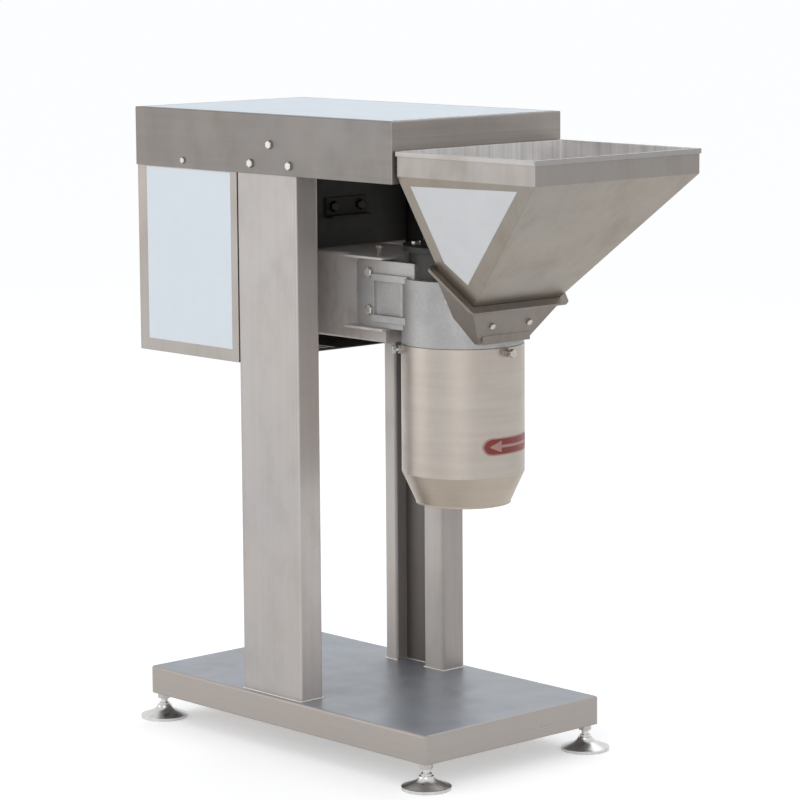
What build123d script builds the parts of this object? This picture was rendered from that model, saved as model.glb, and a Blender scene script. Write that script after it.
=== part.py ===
from build123d import *
import os
from math import asin, cos, radians, sin, sqrt, tan

os.makedirs("parts", exist_ok=True)

# Base tray
tray_length = 710
tray_width = 400
tray_depth = 48
tray_sheet = 3
tray_bend = 5
tray_top_bend = 4
tray_lead = 37  # tray centre ahead of the column centre
rib_width = 40
rib_depth = 30
rib_sheet = 3
rib_end_gap = 2

# Levelling feet
foot_height = 44  # floor to the lower edge of the tray
foot_inset = 16
foot_pad_diameter = 82
foot_pad_edge = 5
foot_pad_height = 22
foot_pad_neck_diameter = 24
foot_pad_waist_radius = 25
foot_pad_waist_height = 11
foot_stud_diameter = 12
foot_collar_diameter = 18
foot_collar_height = 4
foot_stud_top_gap = 10
socket_size = 22
lock_nut_flats = 19
lock_nut_height = 10
thread_clearance = 0.05

# Columns
column_width = 150
column_depth = 50
column_wall = 3
column_corner = 5
column_inset = 10  # tray side to the outer face of a column
rear_left_post_width = 30
rear_panel_recess = 24
rear_panel_sheet = 2
column_top_gap = 24  # column top to the underside of the belt cover

# Cross beam and head arm
beam_depth = 50
beam_front = -15  # front face of the beam from the column centre
beam_height = 606  # tray top to the underside of the beam
beam_section = 145
beam_wall = 5
arm_width = 150
arm_reach = 167
ear_start = 88
ear_length = 96
ear_setback = 1  # side of the housing to the outer edge of an ear
ear_sheet = 4
ear_corner = 4
ear_root = 10
lower_ear_rise = 23

# Cover heights
deck_height = 884  # tray top to the lower edge of the belt cover
cover_height = 100
cover_sheet = 1.5
cover_bend = 3
cover_top_bend = 2
cover_rear_reach = 345
cover_front_reach = 311
cover_side_gap = 0.5
motor_cover_drop = 322
motor_cover_tuck = 24
motor_cover_gap = 0.2
motor_cover_lip = 14
vent_slot_length = 60
vent_slot_width = 7
vent_slot_pitch = 16
vent_slot_spacing = 90
vent_middle_drop = 107
vent_slot_count = 6
vent_column_count = 3
floor_flange = 20
motor_cover_floor_gap = 0.5
hole_margin = 1  # extra depth of a hole cut through a wall

# Cover bolts
cover_bolt_diameter = 8
cover_bolt_flats = 13
cover_bolt_head = 5
cover_bolt_length = 16
cover_bolt_centre = 14
cover_bolt_spread = 98
cover_bolt_rise = 17
cover_bolt_apex = 33
small_bolt_diameter = 6
small_bolt_flats = 10
small_bolt_head = 3.6
small_bolt_length = 9
small_bolt_reach = 214
small_bolt_rise = 13
bolt_head_chamfer = 0.08  # share of the width across flats

# Spindle and cutter housing
spindle_reach = 273
housing_radius = 101
housing_wall = 13
housing_rise = 5  # underside of the beam to the underside of the housing
housing_height = 109
housing_roof = 12
spigot_length = 21
spigot_step = 1.4
boss_radius = 88
boss_cavity_radius = 50
boss_height = 44
boss_flat = 55  # flat front of the boss from the spindle axis
cheek_thickness = 12
cheek_height = 112
cheek_rear_gap = 61  # rear end of the cheek from the rear of the housing
cheek_corner = 10
cheek_fit = 0.2
cheek_rib_rise = 6
cheek_rib_thickness = 12
cheek_rib_top_inset = 22
cheek_rib_bottom_inset = 10
cheek_rib_clearance = 1
cheek_rib_front_gap = 34
cheek_pocket = 4
cheek_pocket_length = 62
cheek_bolt_diameter = 10
cheek_bolt_flats = 16
cheek_bolt_head = 6.4
cheek_bolt_inset = 31
cheek_bolt_top_inset = 21
cheek_bolt_spacing = 63
cheek_bolt_end = 3
adjuster_diameter = 8
adjuster_stand = 18
adjuster_bar_length = 14
adjuster_bar_diameter = 5
adjuster_inset = 24

# Spindle bearings
bearing_flange_radius = 98
bearing_flange_thickness = 10
bearing_tube_radius = 33
bearing_tube_rise = 10
bearing_tube_stand = 2
bearing_spigot_height = 10
bearing_spigot_fit = 0.2
lower_bearing_inset = 6
upper_bearing_inset = 28
bearing_collar_radius = 37
bearing_collar_height = 6
bearing_bore_radius = 20
bearing_outer_radius = 26
bearing_width = 15
bearing_shield_recess = 0.8
bearing_race_width = 4
spindle_radius = 12.5
seal_land_radius = 15
seal_radius = 24
seal_width = 9
pulley_seat_radius = 11
running_clearance = 0.05
bearing_cap_height = 9
bearing_cap_bore_radius = 14
shaft_end_chamfer = 1
flange_bolt_diameter = 8
flange_bolt_flats = 13
flange_bolt_head = 5.3
flange_bolt_circle = 76
flange_bolt_depth = 20
flange_bolt_angles = (70, 130, 230, 290)
spindle_end_gap = 2
spindle_top_stand = 8

# Cutting rotor
rotor_nut_height = 12
rotor_nut_rise = 7
rotor_nut_flats = 36
blade_reach = 80
blade_width = 28
blade_thickness = 4
blade_count = 3
blade_pitch = 20
blade_lead = 8
spacer_radius = 20
knife_ring_width = 9
knife_ring_height = 18
knife_tooth_depth = 6
knife_tooth_width = 10
knife_tooth_count = 16
knife_tooth_root = 1  # how far a tooth reaches into its ring
knife_ring_fit = 0.2
knife_ring_rise = 1

# Belt drive
drive_height = 42  # belt cover edge to the middle of the pulleys
pulley_width = 28
groove_pitch = 12
groove_depth = 9
groove_top = 9
groove_half_angle = 18
motor_pulley_radius = 50
motor_pulley_gap = 2
spindle_pulley_radius = 31
motor_pulley_hub_radius = 24
spindle_pulley_hub_radius = 18
pulley_hub_length = 10
belt_height = 7
belt_gap = 0.35
belt_count = 2

# Motor
motor_axis_height = 90
motor_body_radius = 78
motor_fin_radius = 86
motor_fin_width = 2.5
motor_fin_count = 36
motor_bore_radius = 66
motor_body_length = 190
motor_shield_length = 12
motor_shield_radius = 84
motor_nose_radius = 32
motor_nose_base_radius = 50
motor_nose_length = 25
motor_shaft_radius = 12
motor_shaft_length = 50
motor_journal_radius = 14
motor_journal_rise = 1
motor_journal_drop = 2
motor_core_radius = 40
motor_core_gap = 25
motor_winding_gap = 12
motor_stator_bore = 40.6
motor_fan_radius = 72
motor_fan_height = 24
motor_fan_blades = 8
motor_fan_gap = 4
motor_fan_sheet = 3
motor_fan_hub_radius = 24
motor_fan_root_radius = 16
motor_cowl_radius = 88
motor_cowl_length = 62
motor_cowl_sheet = 1.5
motor_cowl_round = 10
motor_cowl_ring_height = 3
cowl_slot_circle = 48
cowl_slot_length = 53
cowl_slot_width = 6
cowl_slot_count = 12
motor_foot_spacing = 140
motor_foot_pitch = 125
motor_foot_width = 36
motor_foot_thickness = 12
motor_foot_inner = 32
motor_plate_thickness = 12
motor_plate_side_gap = 5
motor_plate_top_gap = 18
motor_plate_corner = 8
plate_bolt_side_inset = 16
plate_bolt_end_inset = 24
terminal_box_height = 86
terminal_box_width = 90
terminal_box_depth = 48
terminal_box_rise = 20
terminal_box_wall = 4
terminal_box_corner = 8
terminal_box_edge = 4
terminal_pad_inset = 12
foot_bolt_diameter = 8
foot_bolt_flats = 13
foot_bolt_head = 5.3

# Guard wall and motor stay
guard_sheet = 3
stay_width = 92
stay_height = 34
stay_leg = 20
stay_sheet = 4
stay_rise = 50  # beam top to the lower leg
stay_bolt_diameter = 10
stay_bolt_flats = 16
stay_bolt_head = 6.4
stay_bolt_spacing = 60

# Hopper
hopper_length = 310
hopper_width = 370
hopper_gap = 6  # belt cover to the hopper
hopper_drop = 47  # belt cover top to the hopper rim
hopper_band = 40
hopper_sheet = 2
hopper_rear_lean = 10.3
hopper_side_lean = 22.5
hopper_front_lean = 47.2
hopper_rim_height = 8
hopper_rim_sheet = 3
inlet_slope = 43.5
inlet_depth = 155.4  # hopper band to the rear edge of the inlet
hopper_seat_depth = 7
hopper_seat_gap = 0.4

# Feed chute
chute_flange_margin = 14
chute_flange_thickness = 5
chute_flange_corner = 8
chute_wall = 4
chute_foot_rise = 9  # underside of the housing to the chute foot
chute_foot_front = 95  # chute foot ahead of the spindle axis
chute_foot_depth = 35
chute_foot_width = 110
chute_bolt_diameter = 6
chute_bolt_flats = 10
chute_bolt_head = 4
chute_bolt_spacing = 84
chute_side_bolt_angle = 57
chute_side_bolt_rise = 79
chute_bolt_rise = 31
chute_bolt_end = 3
chute_fit = 0.3

# Discharge drum
drum_radius = 102
drum_sheet = 2
drum_length = 213
drum_cone_length = 53
drum_outlet_radius = 79
drum_lip = 3
drum_top_gap = 0.3
drum_screw_drop = 8
drum_screw_diameter = 8
drum_screw_flats = 13
drum_screw_head = 6
drum_screw_reach = 12
drum_nut_thickness = 7
drum_screw_count = 3
drum_screw_tip_gap = 0.2

# Switch and cable entry
switch_width = 70
switch_height = 100
switch_depth = 28
switch_wall = 3
switch_corner = 8
switch_edge = 2
switch_cable_radius = 9
switch_rear = 210
switch_drop = 126
button_radius = 11
button_stand = 5
button_depth = 9
button_spacing = 44
button_fit = 0.1
button_edge = 1.5
gland_radius = 11
gland_cap_radius = 10
gland_cap_edge = 4
gland_flats = 24
gland_bore_radius = 5
gland_stand = 16
gland_nut_height = 6
gland_drop = 110  # middle of the switch down to the cable gland

# Places worked out from the sizes above
foot_x = tray_length / 2 - foot_inset
foot_y = tray_width / 2 - foot_inset
rear_reach = max(cover_rear_reach, foot_x + foot_pad_diameter / 2 - tray_lead)
front_reach = cover_front_reach + hopper_gap + hopper_length + hopper_rim_sheet
column_x = (rear_reach - front_reach) / 2
tray_x = column_x + tray_lead
tray_top = foot_height + tray_depth
column_y = tray_width / 2 - column_inset - column_depth / 2
column_face_y = column_y + column_depth / 2
column_inner_y = column_y - column_depth / 2
deck_z = tray_top + deck_height
cover_top = deck_z + cover_height
column_top = cover_top - cover_sheet - column_top_gap
cover_side_y = column_face_y + cover_side_gap + cover_sheet
cover_rear_x = column_x - cover_rear_reach
cover_front_x = column_x + cover_front_reach
beam_bottom = tray_top + beam_height
beam_top = beam_bottom + beam_section
beam_front_x = column_x + beam_front
beam_rear_x = beam_front_x - beam_depth
arm_end_x = column_x + arm_reach
spindle_x = column_x + spindle_reach
housing_bottom = beam_bottom + housing_rise
housing_top = housing_bottom + housing_height
housing_inner_radius = housing_radius - housing_wall
boss_top = housing_top + boss_height
flange_top = boss_top + bearing_flange_thickness
bearing_tube_bottom = housing_top + bearing_tube_rise
lower_bearing_z = bearing_tube_bottom + lower_bearing_inset
bearing_tube_top = deck_z + bearing_tube_stand
upper_bearing_z = bearing_tube_top - upper_bearing_inset
drive_z = deck_z + drive_height
motor_plate_front_x = beam_rear_x
motor_plate_rear_x = motor_plate_front_x - motor_plate_thickness
motor_x = motor_plate_rear_x - motor_axis_height
motor_nose_top = drive_z - pulley_width / 2 - pulley_hub_length - motor_pulley_gap
motor_body_top = motor_nose_top - motor_nose_length - motor_shield_length
motor_body_bottom = motor_body_top - motor_body_length
motor_shield_bottom = motor_body_bottom - motor_shield_length
motor_shaft_top = motor_nose_top + motor_shaft_length
cowl_bottom = motor_body_bottom - motor_cowl_length
motor_cover_bottom = deck_z - motor_cover_drop


# Fasteners along +Z with the head's seat at the origin
def hex_bolt(diameter, flats, head_height, length):
    with BuildPart() as bolt:
        with BuildSketch(Plane.XY):
            RegularPolygon(flats / 2, 6, major_radius=False)
        extrude(amount=head_height)
        chamfer(bolt.faces().sort_by(Axis.Z)[-1].edges(), bolt_head_chamfer * flats)
        with BuildSketch(Plane.XY):
            Circle(diameter / 2)
        extrude(amount=-length)
    return bolt.part


def facing(x, y, z, direction):
    """A location whose +Z points along direction."""
    return Plane(origin=(x, y, z), z_dir=direction).location


# Base tray, folded from sheet and open below
with BuildPart() as base_tray:
    with BuildSketch(Plane.XY.offset(foot_height)):
        with Locations((tray_x, 0)):
            RectangleRounded(tray_length, tray_width, tray_bend)
    extrude(amount=tray_depth)
    fillet(base_tray.faces().sort_by(Axis.Z)[-1].edges(), tray_top_bend)
    offset(amount=-tray_sheet, openings=base_tray.faces().sort_by(Axis.Z)[0])
base_tray.part.label = "base_tray"
export_step(base_tray.part, "parts/base_tray.step")

# Ribs under the tray and threaded sockets in its corners
tray_underside = tray_top - tray_sheet
with BuildPart() as tray_underframe:
    rib_x_places = [column_x, column_x + column_width]
    with BuildSketch(Plane.XY.offset(tray_underside)):
        with Locations(*[(x, 0) for x in rib_x_places]):
            Rectangle(rib_width, tray_width - 2 * tray_sheet - 2 * rib_end_gap)
    extrude(amount=-rib_depth)
    with BuildSketch(Plane.XY.offset(tray_underside)):
        with Locations(*[(x, 0) for x in rib_x_places]):
            Rectangle(rib_width - 2 * rib_sheet, tray_width)
    extrude(amount=-rib_depth + rib_sheet, mode=Mode.SUBTRACT)
    with BuildSketch(Plane.XY.offset(tray_underside)):
        with Locations((tray_x, 0)):
            with GridLocations(2 * foot_x, 2 * foot_y, 2, 2):
                Rectangle(socket_size, socket_size)
                Circle(foot_stud_diameter / 2 + thread_clearance, mode=Mode.SUBTRACT)
    extrude(amount=foot_height - tray_underside)
tray_underframe.part.label = "tray_underframe"
export_step(tray_underframe.part, "parts/tray_underframe.step")

# Lock nuts under the sockets
with BuildPart() as foot_lock_nuts:
    with BuildSketch(Plane.XY.offset(foot_height)):
        with Locations((tray_x, 0)):
            with GridLocations(2 * foot_x, 2 * foot_y, 2, 2):
                RegularPolygon(lock_nut_flats / 2, 6, major_radius=False)
                Circle(foot_stud_diameter / 2 + thread_clearance, mode=Mode.SUBTRACT)
    extrude(amount=-lock_nut_height)
foot_lock_nuts.part.label = "foot_lock_nuts"
export_step(foot_lock_nuts.part, "parts/foot_lock_nuts.step")


# Levelling foot: a bell-shaped pad and a threaded stud
def levelling_foot(x, y):
    pad_radius = foot_pad_diameter / 2
    neck_radius = foot_pad_neck_diameter / 2
    stud_radius = foot_stud_diameter / 2
    with BuildPart() as foot:
        foot_plane = Plane(origin=(x, y, 0), x_dir=(1, 0, 0), z_dir=(0, -1, 0))
        with BuildSketch(foot_plane):
            with BuildLine():
                Polyline((0, foot_pad_height), (0, 0), (pad_radius, 0), (pad_radius, foot_pad_edge))
                bell_points = [(pad_radius, foot_pad_edge), (foot_pad_waist_radius, foot_pad_waist_height)]
                bell_points.append((neck_radius, foot_pad_height))
                Spline(bell_points, tangents=[(-1, 0.25), (-0.25, 1)])
                Line((neck_radius, foot_pad_height), (0, foot_pad_height))
            make_face()
        revolve(axis=Axis((x, y, 0), (0, 0, 1)))
        with BuildSketch(Plane.XY.offset(foot_pad_height)):
            with Locations((x, y)):
                Circle(foot_collar_diameter / 2)
        extrude(amount=foot_collar_height)
        with BuildSketch(Plane.XY.offset(foot_pad_height)):
            with Locations((x, y)):
                Circle(stud_radius)
        extrude(amount=tray_underside - foot_stud_top_gap - foot_pad_height)
    return foot


foot_places = {
    "rear_near": (-1, -1),
    "front_near": (1, -1),
    "rear_far": (-1, 1),
    "front_far": (1, 1),
}
for place, (side_x, side_y) in foot_places.items():
    foot = levelling_foot(tray_x + side_x * foot_x, side_y * foot_y)
    foot.part.label = f"levelling_foot_{place}"
    export_step(foot.part, f"parts/levelling_foot_{place}.step")

# Near column, a rectangular tube that stands on the tray
cover_bolt_places = [
    (cover_bolt_centre - cover_bolt_spread / 2, cover_bolt_rise),
    (cover_bolt_centre, cover_bolt_rise + cover_bolt_apex),
    (cover_bolt_centre + cover_bolt_spread / 2, cover_bolt_rise),
]
with BuildPart() as near_column:
    with BuildSketch(Plane.XY.offset(tray_top)):
        with Locations((column_x, -column_y)):
            RectangleRounded(column_width, column_depth, column_corner)
            inner_width = column_width - 2 * column_wall
            inner_depth = column_depth - 2 * column_wall
            RectangleRounded(inner_width, inner_depth, column_corner - column_wall, mode=Mode.SUBTRACT)
    extrude(amount=column_top - tray_top)
    with BuildSketch(Plane.XZ.offset(column_face_y)):
        with Locations(*[(column_x + x, deck_z + z) for x, z in cover_bolt_places]):
            Circle(cover_bolt_diameter / 2)
    extrude(amount=-column_wall - hole_margin, mode=Mode.SUBTRACT)
near_column.part.label = "near_column"
export_step(near_column.part, "parts/near_column.step")

# Rear column: two posts joined by a recessed panel that leaves a cable channel
rear_right_post_width = column_depth
rear_left_post_x = column_x - column_width / 2 + rear_left_post_width / 2
rear_right_post_x = column_x + column_width / 2 - rear_right_post_width / 2
with BuildPart() as rear_posts:
    for post_x, post_width in (
        (rear_left_post_x, rear_left_post_width),
        (rear_right_post_x, rear_right_post_width),
    ):
        with BuildSketch(Plane.XY.offset(tray_top)):
            with Locations((post_x, column_y)):
                RectangleRounded(post_width, column_depth, column_corner)
                inner_width = post_width - 2 * column_wall
                inner_depth = column_depth - 2 * column_wall
                RectangleRounded(inner_width, inner_depth, column_corner - column_wall, mode=Mode.SUBTRACT)
        extrude(amount=column_top - tray_top)
    with BuildSketch(Plane.XZ.offset(-column_face_y)):
        with Locations(*[(column_x + x, deck_z + z) for x, z in cover_bolt_places]):
            Circle(cover_bolt_diameter / 2)
    extrude(amount=column_wall + hole_margin, mode=Mode.SUBTRACT)
rear_posts.part.label = "rear_posts"
export_step(rear_posts.part, "parts/rear_posts.step")

panel_left = rear_left_post_x + rear_left_post_width / 2
panel_right = rear_right_post_x - rear_right_post_width / 2
panel_y = column_inner_y + rear_panel_recess
with BuildPart() as rear_column_panel:
    with BuildSketch(Plane.XY.offset(tray_top)):
        with Locations(((panel_left + panel_right) / 2, panel_y + rear_panel_sheet / 2)):
            Rectangle(panel_right - panel_left, rear_panel_sheet)
        backing_depth = column_face_y - panel_y
        with Locations(((panel_left + panel_right) / 2, column_face_y - rear_panel_sheet / 2)):
            Rectangle(panel_right - panel_left, rear_panel_sheet)
        with Locations(((panel_left + panel_right) / 2, panel_y + backing_depth / 2)):
            Rectangle(rear_panel_sheet, backing_depth)
    extrude(amount=column_top - tray_top)
    with BuildSketch(Plane.XZ.offset(-column_face_y)):
        with Locations(*[(column_x + x, deck_z + z) for x, z in cover_bolt_places]):
            Circle(cover_bolt_diameter / 2)
    extrude(amount=rear_panel_sheet + hole_margin, mode=Mode.SUBTRACT)
rear_column_panel.part.label = "rear_column_panel"
export_step(rear_column_panel.part, "parts/rear_column_panel.step")

# Cross beam between the columns
beam_x = (beam_front_x + beam_rear_x) / 2
beam_z = beam_bottom + beam_section / 2
with BuildPart() as cross_beam:
    with BuildSketch(Plane.XZ.offset(column_inner_y)):
        with Locations((beam_x, beam_z)):
            RectangleRounded(beam_depth, beam_section, column_corner)
            inner_width = beam_depth - 2 * beam_wall
            Rectangle(inner_width, beam_section - 2 * beam_wall, mode=Mode.SUBTRACT)
    extrude(amount=-2 * column_inner_y)
cross_beam.part.label = "cross_beam"
export_step(cross_beam.part, "parts/cross_beam.step")

# Head arm: a box section with an end plate and two ears on each side
arm_length = arm_end_x - beam_front_x
ear_x = column_x + ear_start + ear_length / 2
ear_width = housing_radius - ear_setback - arm_width / 2
ear_y = arm_width / 2 + (ear_width - ear_root) / 2
adjuster_x = column_x + ear_start + ear_length - adjuster_inset
adjuster_y = arm_width / 2 + cheek_fit + cheek_thickness / 2
lower_ear_bottom = beam_bottom + lower_ear_rise
cheek_bottom = lower_ear_bottom + ear_sheet
cheek_top = cheek_bottom + cheek_height
cheek_rear_x = spindle_x - housing_radius - cheek_rear_gap
cheek_bolt_x = cheek_rear_x + cheek_bolt_inset
cheek_bolt_high = cheek_top - cheek_bolt_top_inset
cheek_bolt_low = cheek_bolt_high - cheek_bolt_spacing
with BuildPart() as head_arm:
    with BuildSketch(Plane.YZ.offset(beam_front_x)):
        with Locations((0, beam_z)):
            RectangleRounded(arm_width, beam_section, column_corner)
    extrude(amount=arm_length)
    for ear_z in (lower_ear_bottom, beam_top - ear_sheet):
        with BuildSketch(Plane.XY.offset(ear_z)):
            with Locations((ear_x, ear_y), (ear_x, -ear_y)):
                Rectangle(ear_length, ear_width + ear_root)
        extrude(amount=ear_sheet)
    ear_edges = head_arm.edges().filter_by(Axis.Z).group_by(Axis.Y)
    fillet(ear_edges[0] + ear_edges[-1], ear_corner)
    with BuildSketch(Plane.YZ.offset(beam_front_x)):
        with Locations((0, beam_z)):
            Rectangle(arm_width - 2 * beam_wall, beam_section - 2 * beam_wall)
    extrude(amount=arm_length - beam_wall, mode=Mode.SUBTRACT)
    with BuildSketch(Plane.XY.offset(beam_top)):
        with Locations((adjuster_x, adjuster_y), (adjuster_x, -adjuster_y)):
            Circle(adjuster_diameter / 2 + thread_clearance)
    extrude(amount=-ear_sheet, mode=Mode.SUBTRACT)
    with BuildSketch(Plane.XZ.offset(arm_width / 2)):
        with Locations((cheek_bolt_x, cheek_bolt_low), (cheek_bolt_x, cheek_bolt_high)):
            Circle(cheek_bolt_diameter / 2)
    extrude(amount=-arm_width, mode=Mode.SUBTRACT)
head_arm.part.label = "head_arm"
export_step(head_arm.part, "parts/head_arm.step")


# Screws that set the height of the cutter head, with a cross bar as head
def adjuster_screw(side):
    with BuildPart() as screw:
        with BuildSketch(Plane.XY.offset(cheek_top)):
            with Locations((adjuster_x, side * adjuster_y)):
                Circle(adjuster_diameter / 2)
        extrude(amount=beam_top + adjuster_stand - cheek_top)
        bar_plane = Plane.YZ.offset(adjuster_x - adjuster_bar_length / 2)
        with BuildSketch(bar_plane):
            with Locations((side * adjuster_y, beam_top + adjuster_stand - adjuster_bar_diameter / 2)):
                Circle(adjuster_bar_diameter / 2)
        extrude(amount=adjuster_bar_length)
    return screw


for side_name, side in (("near", -1), ("far", 1)):
    screw = adjuster_screw(side)
    screw.part.label = f"height_screw_{side_name}"
    export_step(screw.part, f"parts/height_screw_{side_name}.step")

# Guard wall between the columns, above the cross beam
stay_bottom = beam_top + stay_rise
stay_bolt_z = stay_bottom + stay_height / 2 + stay_sheet / 2
guard_rear_x = beam_front_x - guard_sheet
with BuildPart() as drive_guard:
    with BuildSketch(Plane.YZ.offset(guard_rear_x)):
        with Locations((0, (beam_top + deck_z) / 2)):
            Rectangle(2 * column_inner_y, deck_z - beam_top)
        with Locations((stay_bolt_spacing / 2, stay_bolt_z), (-stay_bolt_spacing / 2, stay_bolt_z)):
            Circle(stay_bolt_diameter / 2 + running_clearance, mode=Mode.SUBTRACT)
    extrude(amount=guard_sheet)
drive_guard.part.label = "drive_guard"
export_step(drive_guard.part, "parts/drive_guard.step")

# Angle bracket and long bolts that stay the motor plate against the belt pull
with BuildPart() as stay_bracket:
    with BuildSketch(Plane.XZ.offset(-stay_width / 2)):
        with Locations((beam_front_x, stay_bottom)):
            Rectangle(stay_sheet, stay_height, align=(Align.MIN, Align.MIN))
            Rectangle(stay_leg, stay_sheet, align=(Align.MIN, Align.MIN))
    extrude(amount=stay_width)
    with BuildSketch(Plane.YZ.offset(beam_front_x)):
        with Locations((stay_bolt_spacing / 2, stay_bolt_z), (-stay_bolt_spacing / 2, stay_bolt_z)):
            Circle(stay_bolt_diameter / 2 + running_clearance)
    extrude(amount=stay_sheet, mode=Mode.SUBTRACT)
stay_bracket.part.label = "stay_bracket"
export_step(stay_bracket.part, "parts/stay_bracket.step")

stay_bolt_seat_x = beam_front_x + stay_sheet
stay_bolt_length = stay_bolt_seat_x - motor_plate_rear_x
stay_bolt = hex_bolt(stay_bolt_diameter, stay_bolt_flats, stay_bolt_head, stay_bolt_length)
with BuildPart() as stay_bolts:
    for side in (-1, 1):
        with Locations(facing(stay_bolt_seat_x, side * stay_bolt_spacing / 2, stay_bolt_z, (1, 0, 0))):
            add(stay_bolt)
stay_bolts.part.label = "stay_bolts"
export_step(stay_bolts.part, "parts/stay_bolts.step")

# Motor plate bolted to the rear of the cross beam
motor_plate_top = deck_z - motor_plate_top_gap
motor_plate_width = 2 * (column_inner_y - motor_plate_side_gap)
motor_foot_z = (motor_body_top + motor_body_bottom) / 2
foot_bolt_places = [
    (side_y * motor_foot_spacing / 2, motor_foot_z + side_z * motor_foot_pitch / 2)
    for side_y in (-1, 1)
    for side_z in (-1, 1)
]
plate_bolt_y = motor_plate_width / 2 - plate_bolt_side_inset
plate_bolt_places = [
    (side_y * plate_bolt_y, beam_z + side_z * (beam_section / 2 - plate_bolt_end_inset))
    for side_y in (-1, 1)
    for side_z in (-1, 1)
]
with BuildPart() as motor_plate:
    with BuildSketch(Plane.YZ.offset(motor_plate_rear_x)):
        with Locations((0, (beam_bottom + motor_plate_top) / 2)):
            RectangleRounded(motor_plate_width, motor_plate_top - beam_bottom, motor_plate_corner)
        with Locations(*plate_bolt_places):
            Circle(stay_bolt_diameter / 2, mode=Mode.SUBTRACT)
        with Locations(*foot_bolt_places):
            Circle(foot_bolt_diameter / 2, mode=Mode.SUBTRACT)
        with Locations((stay_bolt_spacing / 2, stay_bolt_z), (-stay_bolt_spacing / 2, stay_bolt_z)):
            Circle(stay_bolt_diameter / 2, mode=Mode.SUBTRACT)
    extrude(amount=motor_plate_thickness)
motor_plate.part.label = "motor_plate"
export_step(motor_plate.part, "parts/motor_plate.step")

plate_bolt = hex_bolt(stay_bolt_diameter, stay_bolt_flats, stay_bolt_head, motor_plate_thickness)
with BuildPart() as motor_plate_bolts:
    for bolt_y, bolt_z in plate_bolt_places:
        with Locations(facing(motor_plate_rear_x, bolt_y, bolt_z, (-1, 0, 0))):
            add(plate_bolt)
motor_plate_bolts.part.label = "motor_plate_bolts"
export_step(motor_plate_bolts.part, "parts/motor_plate_bolts.step")

# Motor cover: near wall, rear wall with cooling slots and lip, tucked into the belt cover
motor_cover_y = column_face_y + cover_side_gap - motor_cover_gap
motor_cover_rear_x = cover_rear_x + cover_sheet + motor_cover_gap
motor_cover_front_x = column_x - column_width / 2
motor_cover_top = deck_z + motor_cover_tuck
motor_cover_length = motor_cover_front_x - motor_cover_rear_x
motor_cover_x = (motor_cover_front_x + motor_cover_rear_x) / 2
switch_x = column_x - switch_rear
switch_z = deck_z - switch_drop
gland_z = switch_z - gland_drop
small_bolt_x = column_x - small_bolt_reach
small_bolt_z = deck_z + small_bolt_rise
side_panel_length = motor_cover_length - cover_bend
side_panel_x = motor_cover_x + cover_bend / 2
side_panel_z = (motor_cover_bottom + motor_cover_top) / 2
side_panel_inner_y = motor_cover_y - cover_sheet
with BuildPart() as motor_cover:
    with BuildSketch(Plane.XY.offset(motor_cover_bottom)):
        with Locations((motor_cover_x, 0)):
            Rectangle(motor_cover_length, 2 * motor_cover_y)
    extrude(amount=motor_cover_top - motor_cover_bottom)
    rear_edges = motor_cover.edges().filter_by(Axis.Z).group_by(Axis.X)[0]
    fillet(rear_edges, cover_bend)
    with BuildSketch(Plane.XY.offset(motor_cover_bottom + cover_sheet)):
        with Locations((motor_cover_x + cover_sheet, 0)):
            Rectangle(motor_cover_length, 2 * motor_cover_y - 2 * cover_sheet)
    extrude(amount=motor_cover_top - motor_cover_bottom, mode=Mode.SUBTRACT)
    with BuildSketch(Plane.XY.offset(motor_cover_bottom)):
        with Locations((motor_cover_x + motor_cover_lip, 0)):
            Rectangle(motor_cover_length, 2 * motor_cover_y - 2 * motor_cover_lip)
    extrude(amount=cover_sheet, mode=Mode.SUBTRACT)
    with BuildSketch(Plane.YZ.offset(motor_cover_rear_x)):
        with Locations((0, deck_z - vent_middle_drop)):
            with GridLocations(vent_slot_spacing, vent_slot_pitch, vent_column_count, vent_slot_count):
                SlotOverall(vent_slot_length, vent_slot_width)
    extrude(amount=cover_sheet, mode=Mode.SUBTRACT)
    with BuildSketch(Plane.XZ.offset(motor_cover_y)):
        with Locations((small_bolt_x, small_bolt_z)):
            Circle(small_bolt_diameter / 2)
    extrude(amount=-cover_sheet, mode=Mode.SUBTRACT)
    with BuildSketch(Plane.XZ.offset(-motor_cover_y)):
        with Locations((side_panel_x, side_panel_z)):
            Rectangle(side_panel_length, motor_cover_top - motor_cover_bottom)
    extrude(amount=cover_sheet, mode=Mode.SUBTRACT)
motor_cover.part.label = "motor_cover"
export_step(motor_cover.part, "parts/motor_cover.step")

# Side panel that closes the far side of the motor cover and carries the switch
with BuildPart() as motor_side_panel:
    with BuildSketch(Plane.XZ.offset(-motor_cover_y)):
        with Locations((side_panel_x, side_panel_z)):
            Rectangle(side_panel_length, motor_cover_top - motor_cover_bottom)
        with Locations((switch_x, switch_z), (switch_x, gland_z)):
            Circle(gland_radius, mode=Mode.SUBTRACT)
        with Locations((small_bolt_x, small_bolt_z)):
            Circle(small_bolt_diameter / 2, mode=Mode.SUBTRACT)
    extrude(amount=cover_sheet)
motor_side_panel.part.label = "motor_side_panel"
export_step(motor_side_panel.part, "parts/motor_side_panel.step")

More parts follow.
